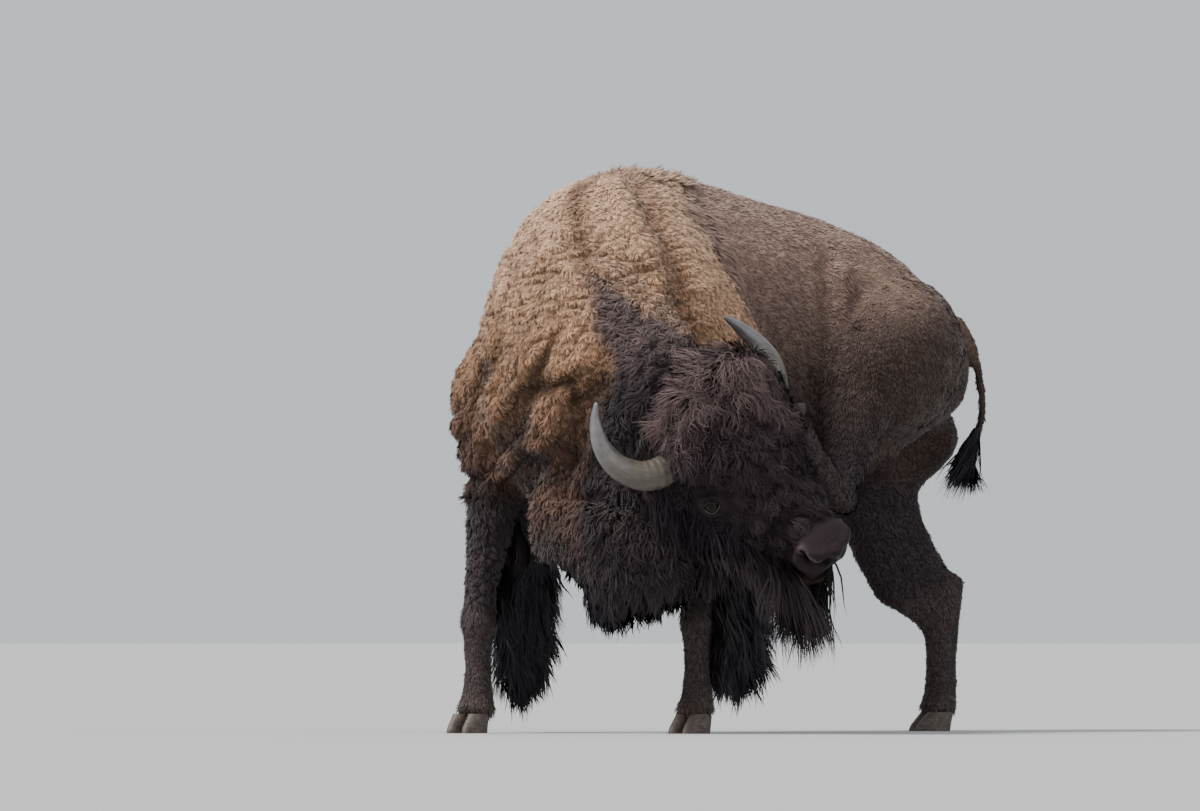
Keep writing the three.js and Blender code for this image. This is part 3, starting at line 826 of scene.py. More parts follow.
class BISON_OT_hide(bpy.types.Operator):
    """One hide for all the flesh: the solids joined into one surface, softened, drawn in by the depth of
    the coat, and worked at the eyes, muzzle, folds and joints. It keeps the zones, the colours and the lie
    of the hair for the coat."""

    bl_idname = "bison.hide"
    bl_label = "Hide"

    def execute(self, context):
        mesh = voxel_union(FLESH, size_of("voxel"))
        keep_largest(mesh)
        points, faces, edges = mesh_arrays(mesh)
        web = Web(edges, len(points))
        hard = np.zeros((len(points), len(ZONES)))
        hard[np.arange(len(points)), nearest_zone(points)] = 1
        soft = web.soften(hard, 8)
        broad = part(soft, "hump", "neck", "flank", "croup", "thigh", "head", "throat")
        firm = part(soft, "muzzle", "tail", "ear")
        rate = np.clip(0.10 + 0.5 * broad - 0.1 * firm, 0.04, 0.6)[:, None]
        points = web.relax(points, 24, rate, 0.96)
        depth = web.soften(coat_depth(points, soft), 8)
        points = points - point_normals(points, faces) * depth[:, None]
        points = fill_sockets(points, soft, web)
        mesh.vertices.foreach_set("co", points.astype(np.float32).ravel())

        eyes = [head(EYE * (side, 1, 1)) for side in (1, -1)]

        def within(reach, *spots):
            return lambda at: np.min([np.linalg.norm(at - spot, axis=1) for spot in spots], 0) < reach

        def first_round(at):
            places = in_body(at)
            neck = (places[:, 0] < 0.00) & (places[:, 2] > 0.74) & (places[:, 2] < 1.66)
            neck &= np.linalg.norm(at - HEAD_AT, axis=1) > 0.33
            return neck | within(0.10, *eyes)(at) | within(0.16, head((0, 0.50, -0.06)))(at)

        nose = [head((0, 0.53, -0.05)), head((0, 0.53, 0.01))]
        alae = [head((side * 0.06, 0.53, -0.02)) for side in (1, -1)]
        refine(mesh, (
            first_round,
            lambda at: within(0.055, *eyes)(at) | within(0.095, *nose)(at),
            lambda at: within(0.040, *eyes)(at) | within(0.050, *alae)(at),
        ))
        known = len(points)
        points, faces, edges = mesh_arrays(mesh)
        web = Web(edges, len(points))
        soft = np.concatenate([soft, np.zeros((len(points) - known, len(ZONES)))])
        for _ in range(10):
            soft[known:] = web.spread(soft)[known:]
        soft /= np.maximum(soft.sum(1, keepdims=True), 1e-9)
        points = web.relax(points, 10, 0.5, 0.96)

        points = broaden(points, soft)

        # Folds, ridges and hollows.
        places, normals = in_body(points), point_normals(points, faces)
        behind_edge = places[:, 0] - np.interp(places[:, 2], CAPE_EDGE_UP, CAPE_EDGE_BEHIND)
        creases = crease_depth(points, soft)
        lift = 0.012 * folded_share(places, soft) - 0.036 * creases
        for path, reach, height in BODY_STROKES:
            lift += brush(points, body(path), reach, height)
        ribs = np.sin(2 * math.pi * (behind_edge + 0.02 * noise(points, 0.2, 15)) / 0.085)
        lift += 0.005 * ribs * ease(0.02, 0.08, behind_edge) * ease(0.42, 0.28, behind_edge) * (
            part(soft, "flank") * ease(1.62, 1.45, places[:, 2]))
        lift += 0.004 * part(soft, "head") * noise(points, 0.06, 11)
        for path, reach, height in FACE_STROKES:
            lift += strokes(points, path, reach, height)
        lift += brush(points, head(PHILTRUM), 0.006, -0.008)
        points = points + normals * lift[:, None]
        points = shape_eyes(points)
        at_eye = ease(0.05, 0.03, np.min([np.linalg.norm(points - at, axis=1) for at in eyes], 0))
        points = mix(points, points + 0.4 * (web.spread(points) - points), 1 - at_eye)

        lie = web.soften(hair_lie(points, soft), 60)
        normals = point_normals(points, faces)
        lie = unit(lie - np.einsum("ij,ij->i", lie, normals)[:, None] * normals)
        tint = markings(points, soft)
        mesh.vertices.foreach_set("co", points.astype(np.float32).ravel())
        mesh.polygons.foreach_set("use_smooth", np.ones(len(mesh.polygons), bool))
        mesh.update()
        mesh.name = "hide"
        bare = bare_share(in_head(points), soft)
        # Painted shade under the hair: where hair grows, the hide takes the coat's colour at 0.6; bare skin
        # keeps its own colour.
        dark = mix(tint * 0.6, tint, bare)
        for key, kind, slot, values in (
            ("coat", "FLOAT_COLOR", "color", rgba(dark)),
            ("tint", "FLOAT_COLOR", "color", rgba(tint)),
            ("bare", "FLOAT", "value", bare.astype(np.float32)),
            ("crease", "FLOAT", "value", creases.astype(np.float32)),
            ("lie", "FLOAT_VECTOR", "vector", lie.astype(np.float32)),
            ("zone", "INT", "value", soft.argmax(1).astype(np.int32)),
        ):
            mesh.attributes.new(key, kind, "POINT").data.foreach_set(slot, values.ravel())
        piece = bpy.data.objects.new("hide", mesh)
        context.scene.collection.objects.link(piece)
        longs = {"throat_mane", "right_chaps", "left_chaps"}
        finish(piece, hide_material(), "brown_coat", *[node for node in FLESH if node not in longs])
        return {"FINISHED"}


def broaden(points, soft):
    """Pushes the hide past the solids' plain shapes, each push easing off round its place. The muzzle is
    made broader and its chin deeper. The poll, the brow and the mane are raised, and the throat's fringe is
    taken up on the right. The hind leg is filled before the shank and the hock, at the stifle and behind the
    thigh, the right chaps and the chest go outward, and the coronets flare."""
    spots = in_head(points)
    left, forward, out = spots.T
    nose = part(soft, "muzzle", "head") * ease(0.40, 0.50, forward) * ease(0.15, 0.10, np.abs(left))
    moved = spots.copy()
    moved[:, 0] += nose * 0.30 * left
    moved[:, 2] += nose * (0.010 * ease(-0.03, 0.04, out) - 1.1 * np.clip(-0.105 - out, 0, 0.2))
    crown = part(soft, "head") * ease(0.02, 0.13, out)
    poll = crown * ease(0.14, -0.04, forward)
    brow = crown * ease(0.40, 0.16, forward) * ease(-0.02, 0.10, left)
    raised = poll[:, None] * np.array((0.030, -0.058, 0.085))
    moved += raised + brow[:, None] * np.array((0.052, -0.005, 0.020))
    points = points + (moved - spots) @ HEAD_AXES
    mane = part(soft, "neck") * mane_share(points) * ease(1.02, 1.16, points[:, 2])
    points = points + mane[:, None] * np.array((0.0, 0.0, 0.030))
    places = in_body(points)
    low = part(soft, "throat") * ease(0.17, 0.09, places[:, 1]) * ease(0.58, 0.44, places[:, 2])
    points = points + low[:, None] * np.array((0.0, 0.0, 0.085))
    front, rear = unit(body_way(points, (-1, 0, -0.15))), unit(body_way(points, (1, 0, 0.05)))
    leg = part(soft, "croup", "shank") * ease(0.0, -0.06, places[:, 1])
    shin = leg * bell(places[:, 2], 0.485, 0.12) * ease(1.28, 1.14, places[:, 0])
    ham = leg * bell(places[:, 2], 0.94, 0.12) * ease(1.22, 1.34, places[:, 0])
    before = places[:, 0] - np.interp(places[:, 2], (0.30, 0.45, 0.56, 0.80), (1.355, 1.33, 1.24, 1.18))
    hock = part(soft, "cannon", "shank") * (places[:, 0] > 0.9) * ease(0.04, -0.05, before)
    hock = hock * bell(places[:, 2], 0.445, 0.075)
    fold = leg * bell(places[:, 2], 0.72, 0.06) * ease(1.20, 1.10, places[:, 0])
    points = points + (0.135 * hock + 0.030 * fold)[:, None] * front
    chaps = part(soft, "right_chaps") * ease(0.66, 0.52, places[:, 2])
    points = points + 0.032 * chaps[:, None] * unit(body_way(points, (0.15, -1, 0)))
    points = points + 0.110 * shin[:, None] * front + 0.080 * ham[:, None] * rear
    chest = part(soft, "neck", "hump", "foreleg") * bell(places[:, 2], 1.08, 0.24)
    ahead_right = unit(body_way(points, (-0.7, -0.7, 0)))
    facing = np.clip(np.einsum("ij,ij->i", unit(points - body((0.1, 0, 1.1))), ahead_right), 0, 1)
    points = points + 0.032 * (chest * facing)[:, None] * ahead_right
    for foot in ("right_fore", "left_fore", "right_hind"):
        off = (points - FEET[foot][0]) * (1, 1, 0)
        near = ease(0.16, 0.10, np.linalg.norm(off, axis=1)) * bell(points[:, 2], 0.060, 0.034)
        points = points + 0.30 * near[:, None] * off
    return points


def shape_eyes(points):
    """The lids: round the opening the hide lies on a ball a little larger than the eye, with a crease over
    the upper lid and a bag under the lower, and inside the opening it drops behind the eye."""
    for side in (1, -1):
        middle, gaze, long, short = eye_frame(side)
        off = points - middle
        along, across, height = off @ long, off @ short, off @ gaze
        reach = np.hypot(along, across)
        near = (reach < 0.075) & (np.abs(height) < 0.05)
        edge = opening(along, across)
        ball = np.sqrt(np.clip((EYE_RADIUS + LID_THICK) ** 2 - reach**2, 0, None))
        brow = 0.0065 * bell(across, 0.034, 0.010) - 0.0025 * bell(across, 0.0225, 0.003)
        bag = 0.0035 * bell(across, -0.029, 0.006) - 0.0022 * bell(across, -0.0215, 0.003)
        target = np.maximum(ball, LID_LEVEL) + (brow + bag) * ease(0.046, 0.022, np.abs(along))
        inside = np.maximum(np.sqrt(np.clip(EYE_RADIUS**2 - reach**2, 0, None)) - 0.004, LID_LEVEL - 0.009)
        target = np.where(edge < 1, np.minimum(target, inside), target)
        share = ease(0.048, 0.034, reach) * near
        points = points + ((target - height) * share)[:, None] * gaze
        rim = near & (edge > 0.86) & (edge < 1.16)
        scale = np.where(rim, 1 / np.maximum(edge, 1e-6) - 1, 0)
        points = points + (along * scale)[:, None] * long + (across * scale)[:, None] * short
    return points


def hair_lie(points, soft):
    """Which way the hair lies: each zone's own way, and on the head forward from the poll, outward round
    the eyes and down on the cheeks."""
    lie = np.zeros_like(points)
    for k, (_, _, way) in enumerate(ZONES.values()):
        lie += soft[:, k:k + 1] * unit(body_way(points, way))
    spots = in_head(points)
    crown = ease(-0.12, 0.10, spots[:, 2])[:, None]
    outward = np.stack([spots[:, 0] / 0.3, np.full(len(points), 0.8), np.zeros(len(points))], -1) @ HEAD_AXES
    sideways = ease(0.02, 0.12, spots[:, 2]) * ease(0.22, 0.02, spots[:, 1])
    outward = outward + sideways[:, None] * (np.array((-0.9, -0.5, 0.0)) @ HEAD_AXES)
    face = crown * outward + (1 - crown) * np.array((0.15, 0.1, -1))
    share = part(soft, "head")[:, None]
    lie = lie * (1 - share) + share * unit(face)
    mane = (mane_share(points) * ease(0.95, 1.10, points[:, 2]) * part(soft, "neck", "hump"))[:, None]
    lie = lie * (1 - mane) + mane * unit(np.array((-0.8, -0.5, -0.1)) @ HEAD_AXES + np.array((0, 0, -0.2)))
    for side in (1, -1):
        off = points - head(EYE * (side, 1, 1))
        close = 1.6 * ease(0.15, 0.06, np.linalg.norm(off, axis=1))[:, None]
        lie = lie + close * unit(off)
    ear = part(soft, "ear")[:, None]
    level = np.ones(len(points))
    tip = np.stack([np.sign(spots[:, 0]), -0.5 * level, -0.2 * level], -1) @ HEAD_AXES
    return lie * (1 - ear) + ear * unit(tip)


def hide_material():
    """Hide under hair: matt and finely furrowed like felt where hair grows, and where it is bare, skin with
    a pebbled grain of about 2.5 mm, a little moist."""
    material, tree, bsdf = new_material("Bison hide", Specular_IOR_Level=0.10)
    place = add_node(tree, "ShaderNodeTexCoord").outputs["Object"]
    painted = add_node(tree, "ShaderNodeAttribute", attribute_name="coat").outputs["Color"]
    bare = add_node(tree, "ShaderNodeAttribute", attribute_name="bare").outputs["Fac"]
    felt = add_node(tree, "ShaderNodeTexNoise",
                    {"Vector": place, "Scale": 1 / 0.006, "Detail": 4.0, "Roughness": 0.65})
    pebbles = add_node(tree, "ShaderNodeTexVoronoi", {"Vector": place, "Scale": 1 / 0.0028}, feature="F1")
    shade = add_node(tree, "ShaderNodeMapRange",
                     {"Value": felt.outputs["Fac"], "To Min": 0.6, "To Max": 1.4})
    tinted(tree, painted, shade.outputs[0], bsdf.inputs["Base Color"])
    rough = add_node(tree, "ShaderNodeMapRange", {"Value": bare, "To Min": 0.85, "To Max": 0.45})
    tree.links.new(rough.outputs[0], bsdf.inputs["Roughness"])
    height = add_node(tree, "ShaderNodeMix", {"Factor": bare}, data_type="FLOAT")
    tree.links.new(felt.outputs["Fac"], height.inputs[2])
    tree.links.new(pebbles.outputs["Distance"], height.inputs[3])
    bump = add_node(tree, "ShaderNodeBump",
                    {"Height": height.outputs[0], "Distance": 0.0014, "Strength": 0.5})
    tree.links.new(bump.outputs[0], bsdf.inputs["Normal"])
    return material


# ---- Horns, eyes and hooves ----
# Each station of the left horn: left, forward and out in the head, and the radius.
HORN_ROWS = [(0.190, 0.012, -0.020, 0.050), (0.245, 0.002, -0.022, 0.049), (0.295, -0.028, -0.022, 0.045),
             (0.332, -0.090, -0.014, 0.039), (0.336, -0.160, 0.006, 0.030), (0.312, -0.228, 0.038, 0.019),
             (0.278, -0.272, 0.072, 0.006)]


def tube(path, radii, around, up, ripple=None):
    """A closed tube along a path: rings square to it, with radii that may change with angle and length."""
    tangent = unit(np.gradient(path, axis=0))
    top = unit(up - np.einsum("ij,j->i", tangent, up)[:, None] * tangent)
    side = np.cross(tangent, top)
    angle = np.linspace(0, 2 * math.pi, around, endpoint=False)
    reach = np.broadcast_to(radii[:, None], (len(path), around))
    if ripple is not None:
        reach = reach + ripple(np.linspace(0, 1, len(path))[:, None], angle[None])
    ring = np.cos(angle)[None, :, None] * top[:, None] + np.sin(angle)[None, :, None] * side[:, None]
    points = (path[:, None] + reach[..., None] * ring).reshape(-1, 3)
    return np.concatenate([points, path[:1], path[-1:]]), capped(len(path), around)


def horn_material():
    """Horn sheath: matt and grey-green at the base, paler grey and polished towards the tip, where the pale
    grey stands partly for a painted reflection of the sky. It has fine lines along it about 3 mm apart and
    faint rings of growth."""
    material, tree, bsdf = new_material("Bison horn sheath", IOR=1.55, Coat_Weight=0.08, Coat_Roughness=0.25)
    along = add_node(tree, "ShaderNodeUVMap", uv_map="sheath").outputs[0]
    tip = add_node(tree, "ShaderNodeSeparateXYZ", {"Vector": along}).outputs["Y"]
    stretched = add_node(tree, "ShaderNodeMapping", {"Vector": along, "Scale": (90.0, 3.0, 1.0)})
    lines = add_node(tree, "ShaderNodeTexNoise",
                     {"Vector": stretched.outputs[0], "Scale": 1.0, "Detail": 4.0})
    place = add_node(tree, "ShaderNodeTexCoord").outputs["Object"]
    stains = add_node(tree, "ShaderNodeTexNoise", {"Vector": place, "Scale": 1 / 0.03, "Detail": 5.0})
    # From base to tip; the tip's pale grey is partly painted reflection.
    ramp = add_node(tree, "ShaderNodeValToRGB", {"Fac": tip})
    ramp.color_ramp.elements[0].color = (*paint("horn_base"), 1)
    ramp.color_ramp.elements[0].position = 0.35
    ramp.color_ramp.elements[1].color = (*paint("horn_tip"), 1)
    ramp.color_ramp.elements[1].position = 0.95
    both = add_node(tree, "ShaderNodeMath", {0: lines.outputs["Fac"], 1: stains.outputs["Fac"]},
                    operation="MULTIPLY")
    shade = add_node(tree, "ShaderNodeMapRange",
                     {"Value": both.outputs[0], "From Min": 0.08, "From Max": 0.5,
                                                  "To Min": 0.55, "To Max": 1.5})
    tinted(tree, ramp.outputs[0], shade.outputs[0], bsdf.inputs["Base Color"])
    rough = add_node(tree, "ShaderNodeMapRange",
                     {"Value": tip, "From Min": 0.3, "To Min": 0.5, "To Max": 0.28})
    tree.links.new(rough.outputs[0], bsdf.inputs["Roughness"])
    bump = add_node(tree, "ShaderNodeBump", {"Height": both.outputs[0], "Distance": 0.0012, "Strength": 0.6})
    tree.links.new(bump.outputs[0], bsdf.inputs["Normal"])
    return material


class BISON_OT_horns(bpy.types.Operator):
    """The horns: tubes along a curve through each horn's stations, with lengthwise flutes and, near the
    base, rings of growth, both as small waves of the radius."""

    bl_idname = "bison.horns"
    bl_label = "Horns"

    def execute(self, context):
        material = horn_material()
        for side, word in ((1, "left"), (-1, "right")):
            rows = spline(HORN_ROWS, 90)
            rows = np.concatenate([rows, rows[-1:] + (rows[-1] - rows[-2]) * 0.8])
            rows[-1, 3] = 0.001
            rows[-2, 3] *= 0.7
            path = head(rows[:, :3] * (side, 1, 1))

            def ripple(t, angle):
                flutes = 0.0007 * np.sin(17 * angle + 3 * np.sin(9 * t)) * ease(0.9, 0.2, t)
                lumps = 0.0010 * np.sin(7 * angle + 5 * t + side) * np.sin(14 * t)
                rings = 0.0006 * np.sin(2 * math.pi * 15 * t + 1.5 * np.sin(angle + 9 * t))
                rings = rings * ease(0.55, 0.15, t)
                return (flutes + lumps + rings) * ease(1, 0.92, t)

            around = 40
            points, faces = tube(path, rows[:, 3], around, HEAD_AXES[2] + 0.3 * HEAD_AXES[0], ripple)
            name = f"{word}_horn_sheath"
            piece = make_mesh(name, points, faces)
            t = np.append(np.repeat(np.linspace(0, 1, len(path)), around), (0, 1))
            angle = np.append(np.tile(np.linspace(0, 1, around, endpoint=False), len(path)), (0, 0))
            layer = piece.data.uv_layers.new(name="sheath")
            corner = faces.ravel()
            across = angle[corner].reshape(-1, 3)
            across = np.where((across.max(1, keepdims=True) - across > 0.5), across + 1, across)
            layer.uv.foreach_set("vector",
                                 np.stack([across.ravel(), t[corner]], -1).astype(np.float32).ravel())
            finish(piece, material, "horn", f"{word}_horn")
        return {"FINISHED"}


def eye_material():
    """Eye: a wet ball under a clear cornea. The iris is brown with a dark rim, the pupil lies flat, and the
    white is dark at the edges, as cattle have it."""
    material, tree, bsdf = new_material("Bison eye", Roughness=0.2, Specular_IOR_Level=0.10,
                                        Coat_Weight=0.18,
                                        Coat_Roughness=0.02)
    painted = add_node(tree, "ShaderNodeAttribute", attribute_name="ball").outputs["Color"]
    place = add_node(tree, "ShaderNodeTexCoord").outputs["Object"]
    threads = add_node(tree, "ShaderNodeTexNoise", {"Vector": place, "Scale": 1 / 0.0015, "Detail": 2.0})
    shade = add_node(tree, "ShaderNodeMapRange",
                     {"Value": threads.outputs["Fac"], "To Min": 0.8, "To Max": 1.2})
    tinted(tree, painted, shade.outputs[0], bsdf.inputs["Base Color"])
    return material


def lid_material():
    """Bare skin of the lid margins: dark, smooth and moist."""
    material, tree, bsdf = new_material("Bison lid skin", Roughness=0.40, Specular_IOR_Level=0.25)
    place = add_node(tree, "ShaderNodeTexCoord").outputs["Object"]
    patches = add_node(tree, "ShaderNodeTexNoise", {"Vector": place, "Scale": 1 / 0.004, "Detail": 3.0})
    painted = add_node(tree, "ShaderNodeAttribute", attribute_name="ball").outputs["Color"]
    shade = add_node(tree, "ShaderNodeMapRange",
                     {"Value": patches.outputs["Fac"], "To Min": 0.6, "To Max": 1.4})
    tinted(tree, painted, shade.outputs[0], bsdf.inputs["Base Color"])
    bump = add_node(tree, "ShaderNodeBump",
                    {"Height": patches.outputs["Fac"], "Distance": 0.0006, "Strength": 0.5})
    tree.links.new(bump.outputs[0], bsdf.inputs["Normal"])
    return material


class BISON_OT_eyes(bpy.types.Operator):
    """The eyes: balls with the cornea standing a little proud, and the margins of the lids, which are small
    rounded rolls along the almond-shaped opening."""

    bl_idname = "bison.eyes"
    bl_label = "Eyes"

    def execute(self, context):
        ball_finish, lid_finish = eye_material(), lid_material()
        for side, word in ((1, "left"), (-1, "right")):
            middle, gaze, long, short = eye_frame(side)
            rings, around = 44, 56
            polar = np.linspace(0.0005, math.pi - 0.0005, rings)[:, None]
            angle = np.linspace(0, 2 * math.pi, around, endpoint=False)[None]
            bulge = CORNEA * np.exp(-((polar / 0.42) ** 4))
            reach = EYE_RADIUS + bulge
            along = reach * np.sin(polar) * np.cos(angle)
            across = reach * np.sin(polar) * np.sin(angle)
            height = reach * np.cos(polar) * np.ones_like(angle)
            off = along[..., None] * long + across[..., None] * short + height[..., None] * gaze
            faces = halves(grid_faces(rings, around))
            if side < 0:
                faces = faces[:, ::-1]
            pupil = np.hypot(along / PUPIL[0], across / PUPIL[1])
            iris = np.hypot(along, across)
            white = np.ones((rings, around, 3)) * paint("iris") * 0.35
            shade = mix(white, paint("iris") * 0.30, ease(IRIS_EDGE, IRIS_RIM, iris))
            shade = mix(shade, paint("iris"), ease(IRIS_RIM, 0.0145, iris))
            shade = mix(shade, np.full(3, 0.002), ease(1.08, 0.92, pupil))
            shade = np.where((polar > 1.2)[..., None], paint("iris") * 0.3, shade)
            piece = make_mesh(f"{word}_eyeball", (middle + off).reshape(-1, 3), faces,
                              {"ball": shade.reshape(-1, 3)})
            finish(piece, ball_finish, "eye", f"{word}_eye")

            # The lid margins.
            count, section = 72, 10
            turn = np.linspace(0, 2 * math.pi, count, endpoint=False)
            a, b = LID_LONG * np.cos(turn), LID_SHORT * np.sin(turn) * (1 - LID_TAPER * np.cos(turn) ** 2)
            thick = 0.0015 + 0.0004 * np.sin(turn)
            out = np.sqrt(np.maximum((EYE_RADIUS + 0.0016) ** 2 - a**2 - b**2, LID_LEVEL**2))
            rim = middle + a[:, None] * long + b[:, None] * short + out[:, None] * gaze
            way = unit(np.roll(rim, -1, 0) - np.roll(rim, 1, 0))
            outer = unit(rim - middle)
            flat = np.cross(way, outer)
            small = np.linspace(0, 2 * math.pi, section, endpoint=False)
            rise, run = np.cos(small)[None, :, None], 1.25 * np.sin(small)[None, :, None]
            ring = rise * outer[:, None] + run * flat[:, None]
            roll = (rim[:, None] + thick[:, None, None] * ring).reshape(-1, 3)
            quads = grid_faces(count + 1, section) % (count * section)
            if side < 0:
                quads = quads[:, ::-1]
            lower = np.repeat(ease(0.2, -0.5, np.sin(turn)), section)[:, None]
            shade = paint("bare") * 0.5 * (1 - lower) + paint("lid_rim") * lower
            piece = make_mesh(f"{word}_lid_margins", roll, quads, {"ball": shade})
            finish(piece, lid_finish, "bare_skin")
        return {"FINISHED"}


def hoof_material(shade=1.0):
    """Hoof wall: horn in fine growth lines about 2 mm apart round the toe."""
    material, tree, bsdf = new_material("Bison hoof horn", IOR=1.55, Roughness=0.62)
    place = add_node(tree, "ShaderNodeTexCoord").outputs["Object"]
    stretched = add_node(tree, "ShaderNodeMapping", {"Vector": place, "Scale": (40.0, 40.0, 420.0)})
    lines = add_node(tree, "ShaderNodeTexNoise",
                     {"Vector": stretched.outputs[0], "Scale": 1.0, "Detail": 4.0})
    patches = add_node(tree, "ShaderNodeTexNoise", {"Vector": place, "Scale": 1 / 0.02, "Detail": 4.0})
    both = add_node(tree, "ShaderNodeMath", {0: lines.outputs["Fac"], 1: patches.outputs["Fac"]},
                    operation="MULTIPLY")
    ramp = add_node(tree, "ShaderNodeValToRGB", {"Fac": both.outputs[0]})
    ramp.color_ramp.elements[0].color = (*(0.45 * shade * paint("hoof")), 1)
    ramp.color_ramp.elements[0].position = 0.12
    ramp.color_ramp.elements[1].color = (*(2.0 * shade * paint("hoof")), 1)
    ramp.color_ramp.elements[1].position = 0.45
    tree.links.new(ramp.outputs[0], bsdf.inputs["Base Color"])
    bump = add_node(tree, "ShaderNodeBump", {"Height": both.outputs[0], "Distance": 0.0015, "Strength": 0.7})
    tree.links.new(bump.outputs[0], bsdf.inputs["Normal"])
    return material


def ahead(behind):
    """The way forward at a distance along the back."""
    turn = SPINE_START + SPINE_BEND * behind
    return np.array((-math.sin(turn), -math.cos(turn), 0))


UPRIGHT = np.array((0.0, 0.0, 1.0))
FEET = {
    "right_fore": (body((-0.262, -0.350, 0)), ahead(-0.262), UPRIGHT),
    "left_fore": (body((0.044, 0.300, 0)), ahead(0.044), UPRIGHT),
    "right_hind": (body((1.322, -0.026, 0)), ahead(1.250), UPRIGHT),
    "left_hind": (head((0.298, 0.002, -0.212)), unit(np.array((-0.278, -0.611, 0.737))),
                  unit(np.array((0.09, 0.749, 0.657)))),
}
# Each row of a toe: its height, its shift forward, half its width, its reach forward and back.
TOE_ROWS = [(0.0, 0.008, 0.0285, 0.071, 0.047), (0.006, 0.0075, 0.0287, 0.071, 0.0475),
            (0.020, 0.005, 0.0285, 0.067, 0.047), (0.038, 0.000, 0.0275, 0.057, 0.0455),
            (0.052, -0.004, 0.0262, 0.049, 0.0435), (0.062, -0.006, 0.0245, 0.043, 0.040)]


DEWCLAW_UP, DEWCLAW_BACK, DEWCLAW_OUT, DEWCLAW_RADIUS = 0.112, 0.030, 0.024, 0.0145


class BISON_OT_hooves(bpy.types.Operator):
    """The toes: rings of one outline, blunt at the heel and narrowing to the tip, stacked from the flat sole
    to the hairline, with growth rings as waves of their size; and two dewclaws behind each pastern."""

    bl_idname = "bison.hooves"
    bl_label = "Hooves"

    def execute(self, context):
        material, shaded = hoof_material(), hoof_material(0.3)
        for foot, (at, front, up) in FEET.items():
            left = unit(np.cross(up, front))
            for side, word in ((1, "left"), (-1, "right")):
                rows = spline(TOE_ROWS, 26)
                height, shift, wide, fore, back = rows.T[:, :, None]
                around = 48
                angle = np.linspace(0, 2 * math.pi, around, endpoint=False)[None]
                rise, run = np.cos(angle), np.sin(angle)
                waist = np.where(rise > 0, 1 - 0.22 * rise**2, 1)
                across = side * np.sign(run) * np.abs(run) ** 0.85 * wide * waist
                across = across - side * 0.003 * rise * (rise > 0)
                forward = shift + np.where(rise > 0, fore, back) * rise
                swell = 1 + 0.012 * np.sin(height / 0.0075 * 2 * math.pi + rise) * ease(0, 0.01, height)
                middle = at + side * CLEFT * left
                points = (
                    middle + (forward * swell)[..., None] * front + (across * swell)[..., None] * left
                    + (height * np.ones_like(angle))[..., None] * up
                )
                flat = np.concatenate([points.reshape(-1, 3), points[:1].mean(1), points[-1:].mean(1)])
                triangles = capped(len(rows), around)
                if side > 0:
                    triangles = triangles[:, ::-1]
                piece = make_mesh(f"{foot}_{word}_hoof", flat, triangles)
                finish(piece, material, "hoof", f"{foot}_{word}_toe")
            for side, word in ((1, "left"), (-1, "right")):
                root = at + up * DEWCLAW_UP - front * DEWCLAW_BACK + left * side * DEWCLAW_OUT
                tip = root - front * 0.030 - up * 0.022 + left * side * 0.004
                path = root + np.linspace(0, 1, 14)[:, None] * (tip - root)
                radii = DEWCLAW_RADIUS * np.sqrt(np.clip(1 - np.linspace(0, 0.995, 14) ** 2.4, 0, 1))
                points, faces = tube(path, radii, 18, left)
                piece = make_mesh(f"{foot}_{word}_dewclaw", points, faces)
                finish(piece, shaded, "hoof")
        return {"FINISHED"}


# ---- Hair ----
def read_hide():
    """The hide's arrays, as the coat needs them."""
    mesh = bpy.data.objects["hide"].data
    points, faces, _ = mesh_arrays(mesh)
    keys = {"tint": ("color", 4), "lie": ("vector", 3), "zone": ("value", 1), "bare": ("value", 1),
            "crease": ("value", 1)}
    out = {"points": points, "faces": faces, "normals": point_normals(points, faces)}
    for key, (kind, width) in keys.items():
        values = np.empty(len(points) * width, np.int32 if key == "zone" else np.float32)
        mesh.attributes[key].data.foreach_get(kind, values)
        out[key] = values.reshape(-1, width)
    a, b, c = (points[faces[:, i]] for i in range(3))
    out["area"] = 0.5 * np.linalg.norm(np.cross(b - a, c - a), axis=1)
    return out


def scatter(hide, per_m2, seed):
    """Roots spread over the hide, so many to the square metre of each face: the running total of what each
    face should have is cut at whole numbers, and each root falls at random in its face."""
    rng = np.random.default_rng(seed)
    total = np.cumsum(hide["area"] * per_m2)
    picks = np.searchsorted(total, np.arange(int(total[-1])) + rng.random(int(total[-1])))
    picks = np.minimum(picks, len(total) - 1)
    u, v = rng.random((2, len(picks)))
    u, v = np.where(u + v > 1, 1 - u, u), np.where(u + v > 1, 1 - v, v)
    share = np.stack([1 - u - v, u, v], -1)[..., None]
    corners = hide["faces"][picks]
    kept = ("points", "normals", "tint", "lie", "bare", "crease")
    out = {key: (hide[key][corners] * share).sum(1) for key in kept}
    out["normals"], out["lie"] = unit(out["normals"]), unit(out["lie"])
    out["zone"] = hide["zone"][corners[:, 0], 0]
    out["rng"] = rng
    return out


def gather(roots, per_lock):
    """Puts each root in a lock: some roots are picked at random, and each goes with the nearest of them.
    Gives the lock of each root, the way to the lock's middle, and the share of the way out from it."""
    points, rng = roots["points"], roots["rng"]
    chosen = rng.choice(len(points), max(1, len(points) // per_lock), replace=False)
    tree = KDTree(len(chosen))
    for k, spot in enumerate(points[chosen].tolist()):
        tree.insert(spot, k)
    tree.balance()
    lock = np.array([tree.find(point)[1] for point in points.tolist()])
    way = points[chosen][lock] - points
    reach = np.linalg.norm(way, axis=1)
    return lock, way, np.clip(reach / (2.2 * reach.mean() + 1e-9), 0, 1)


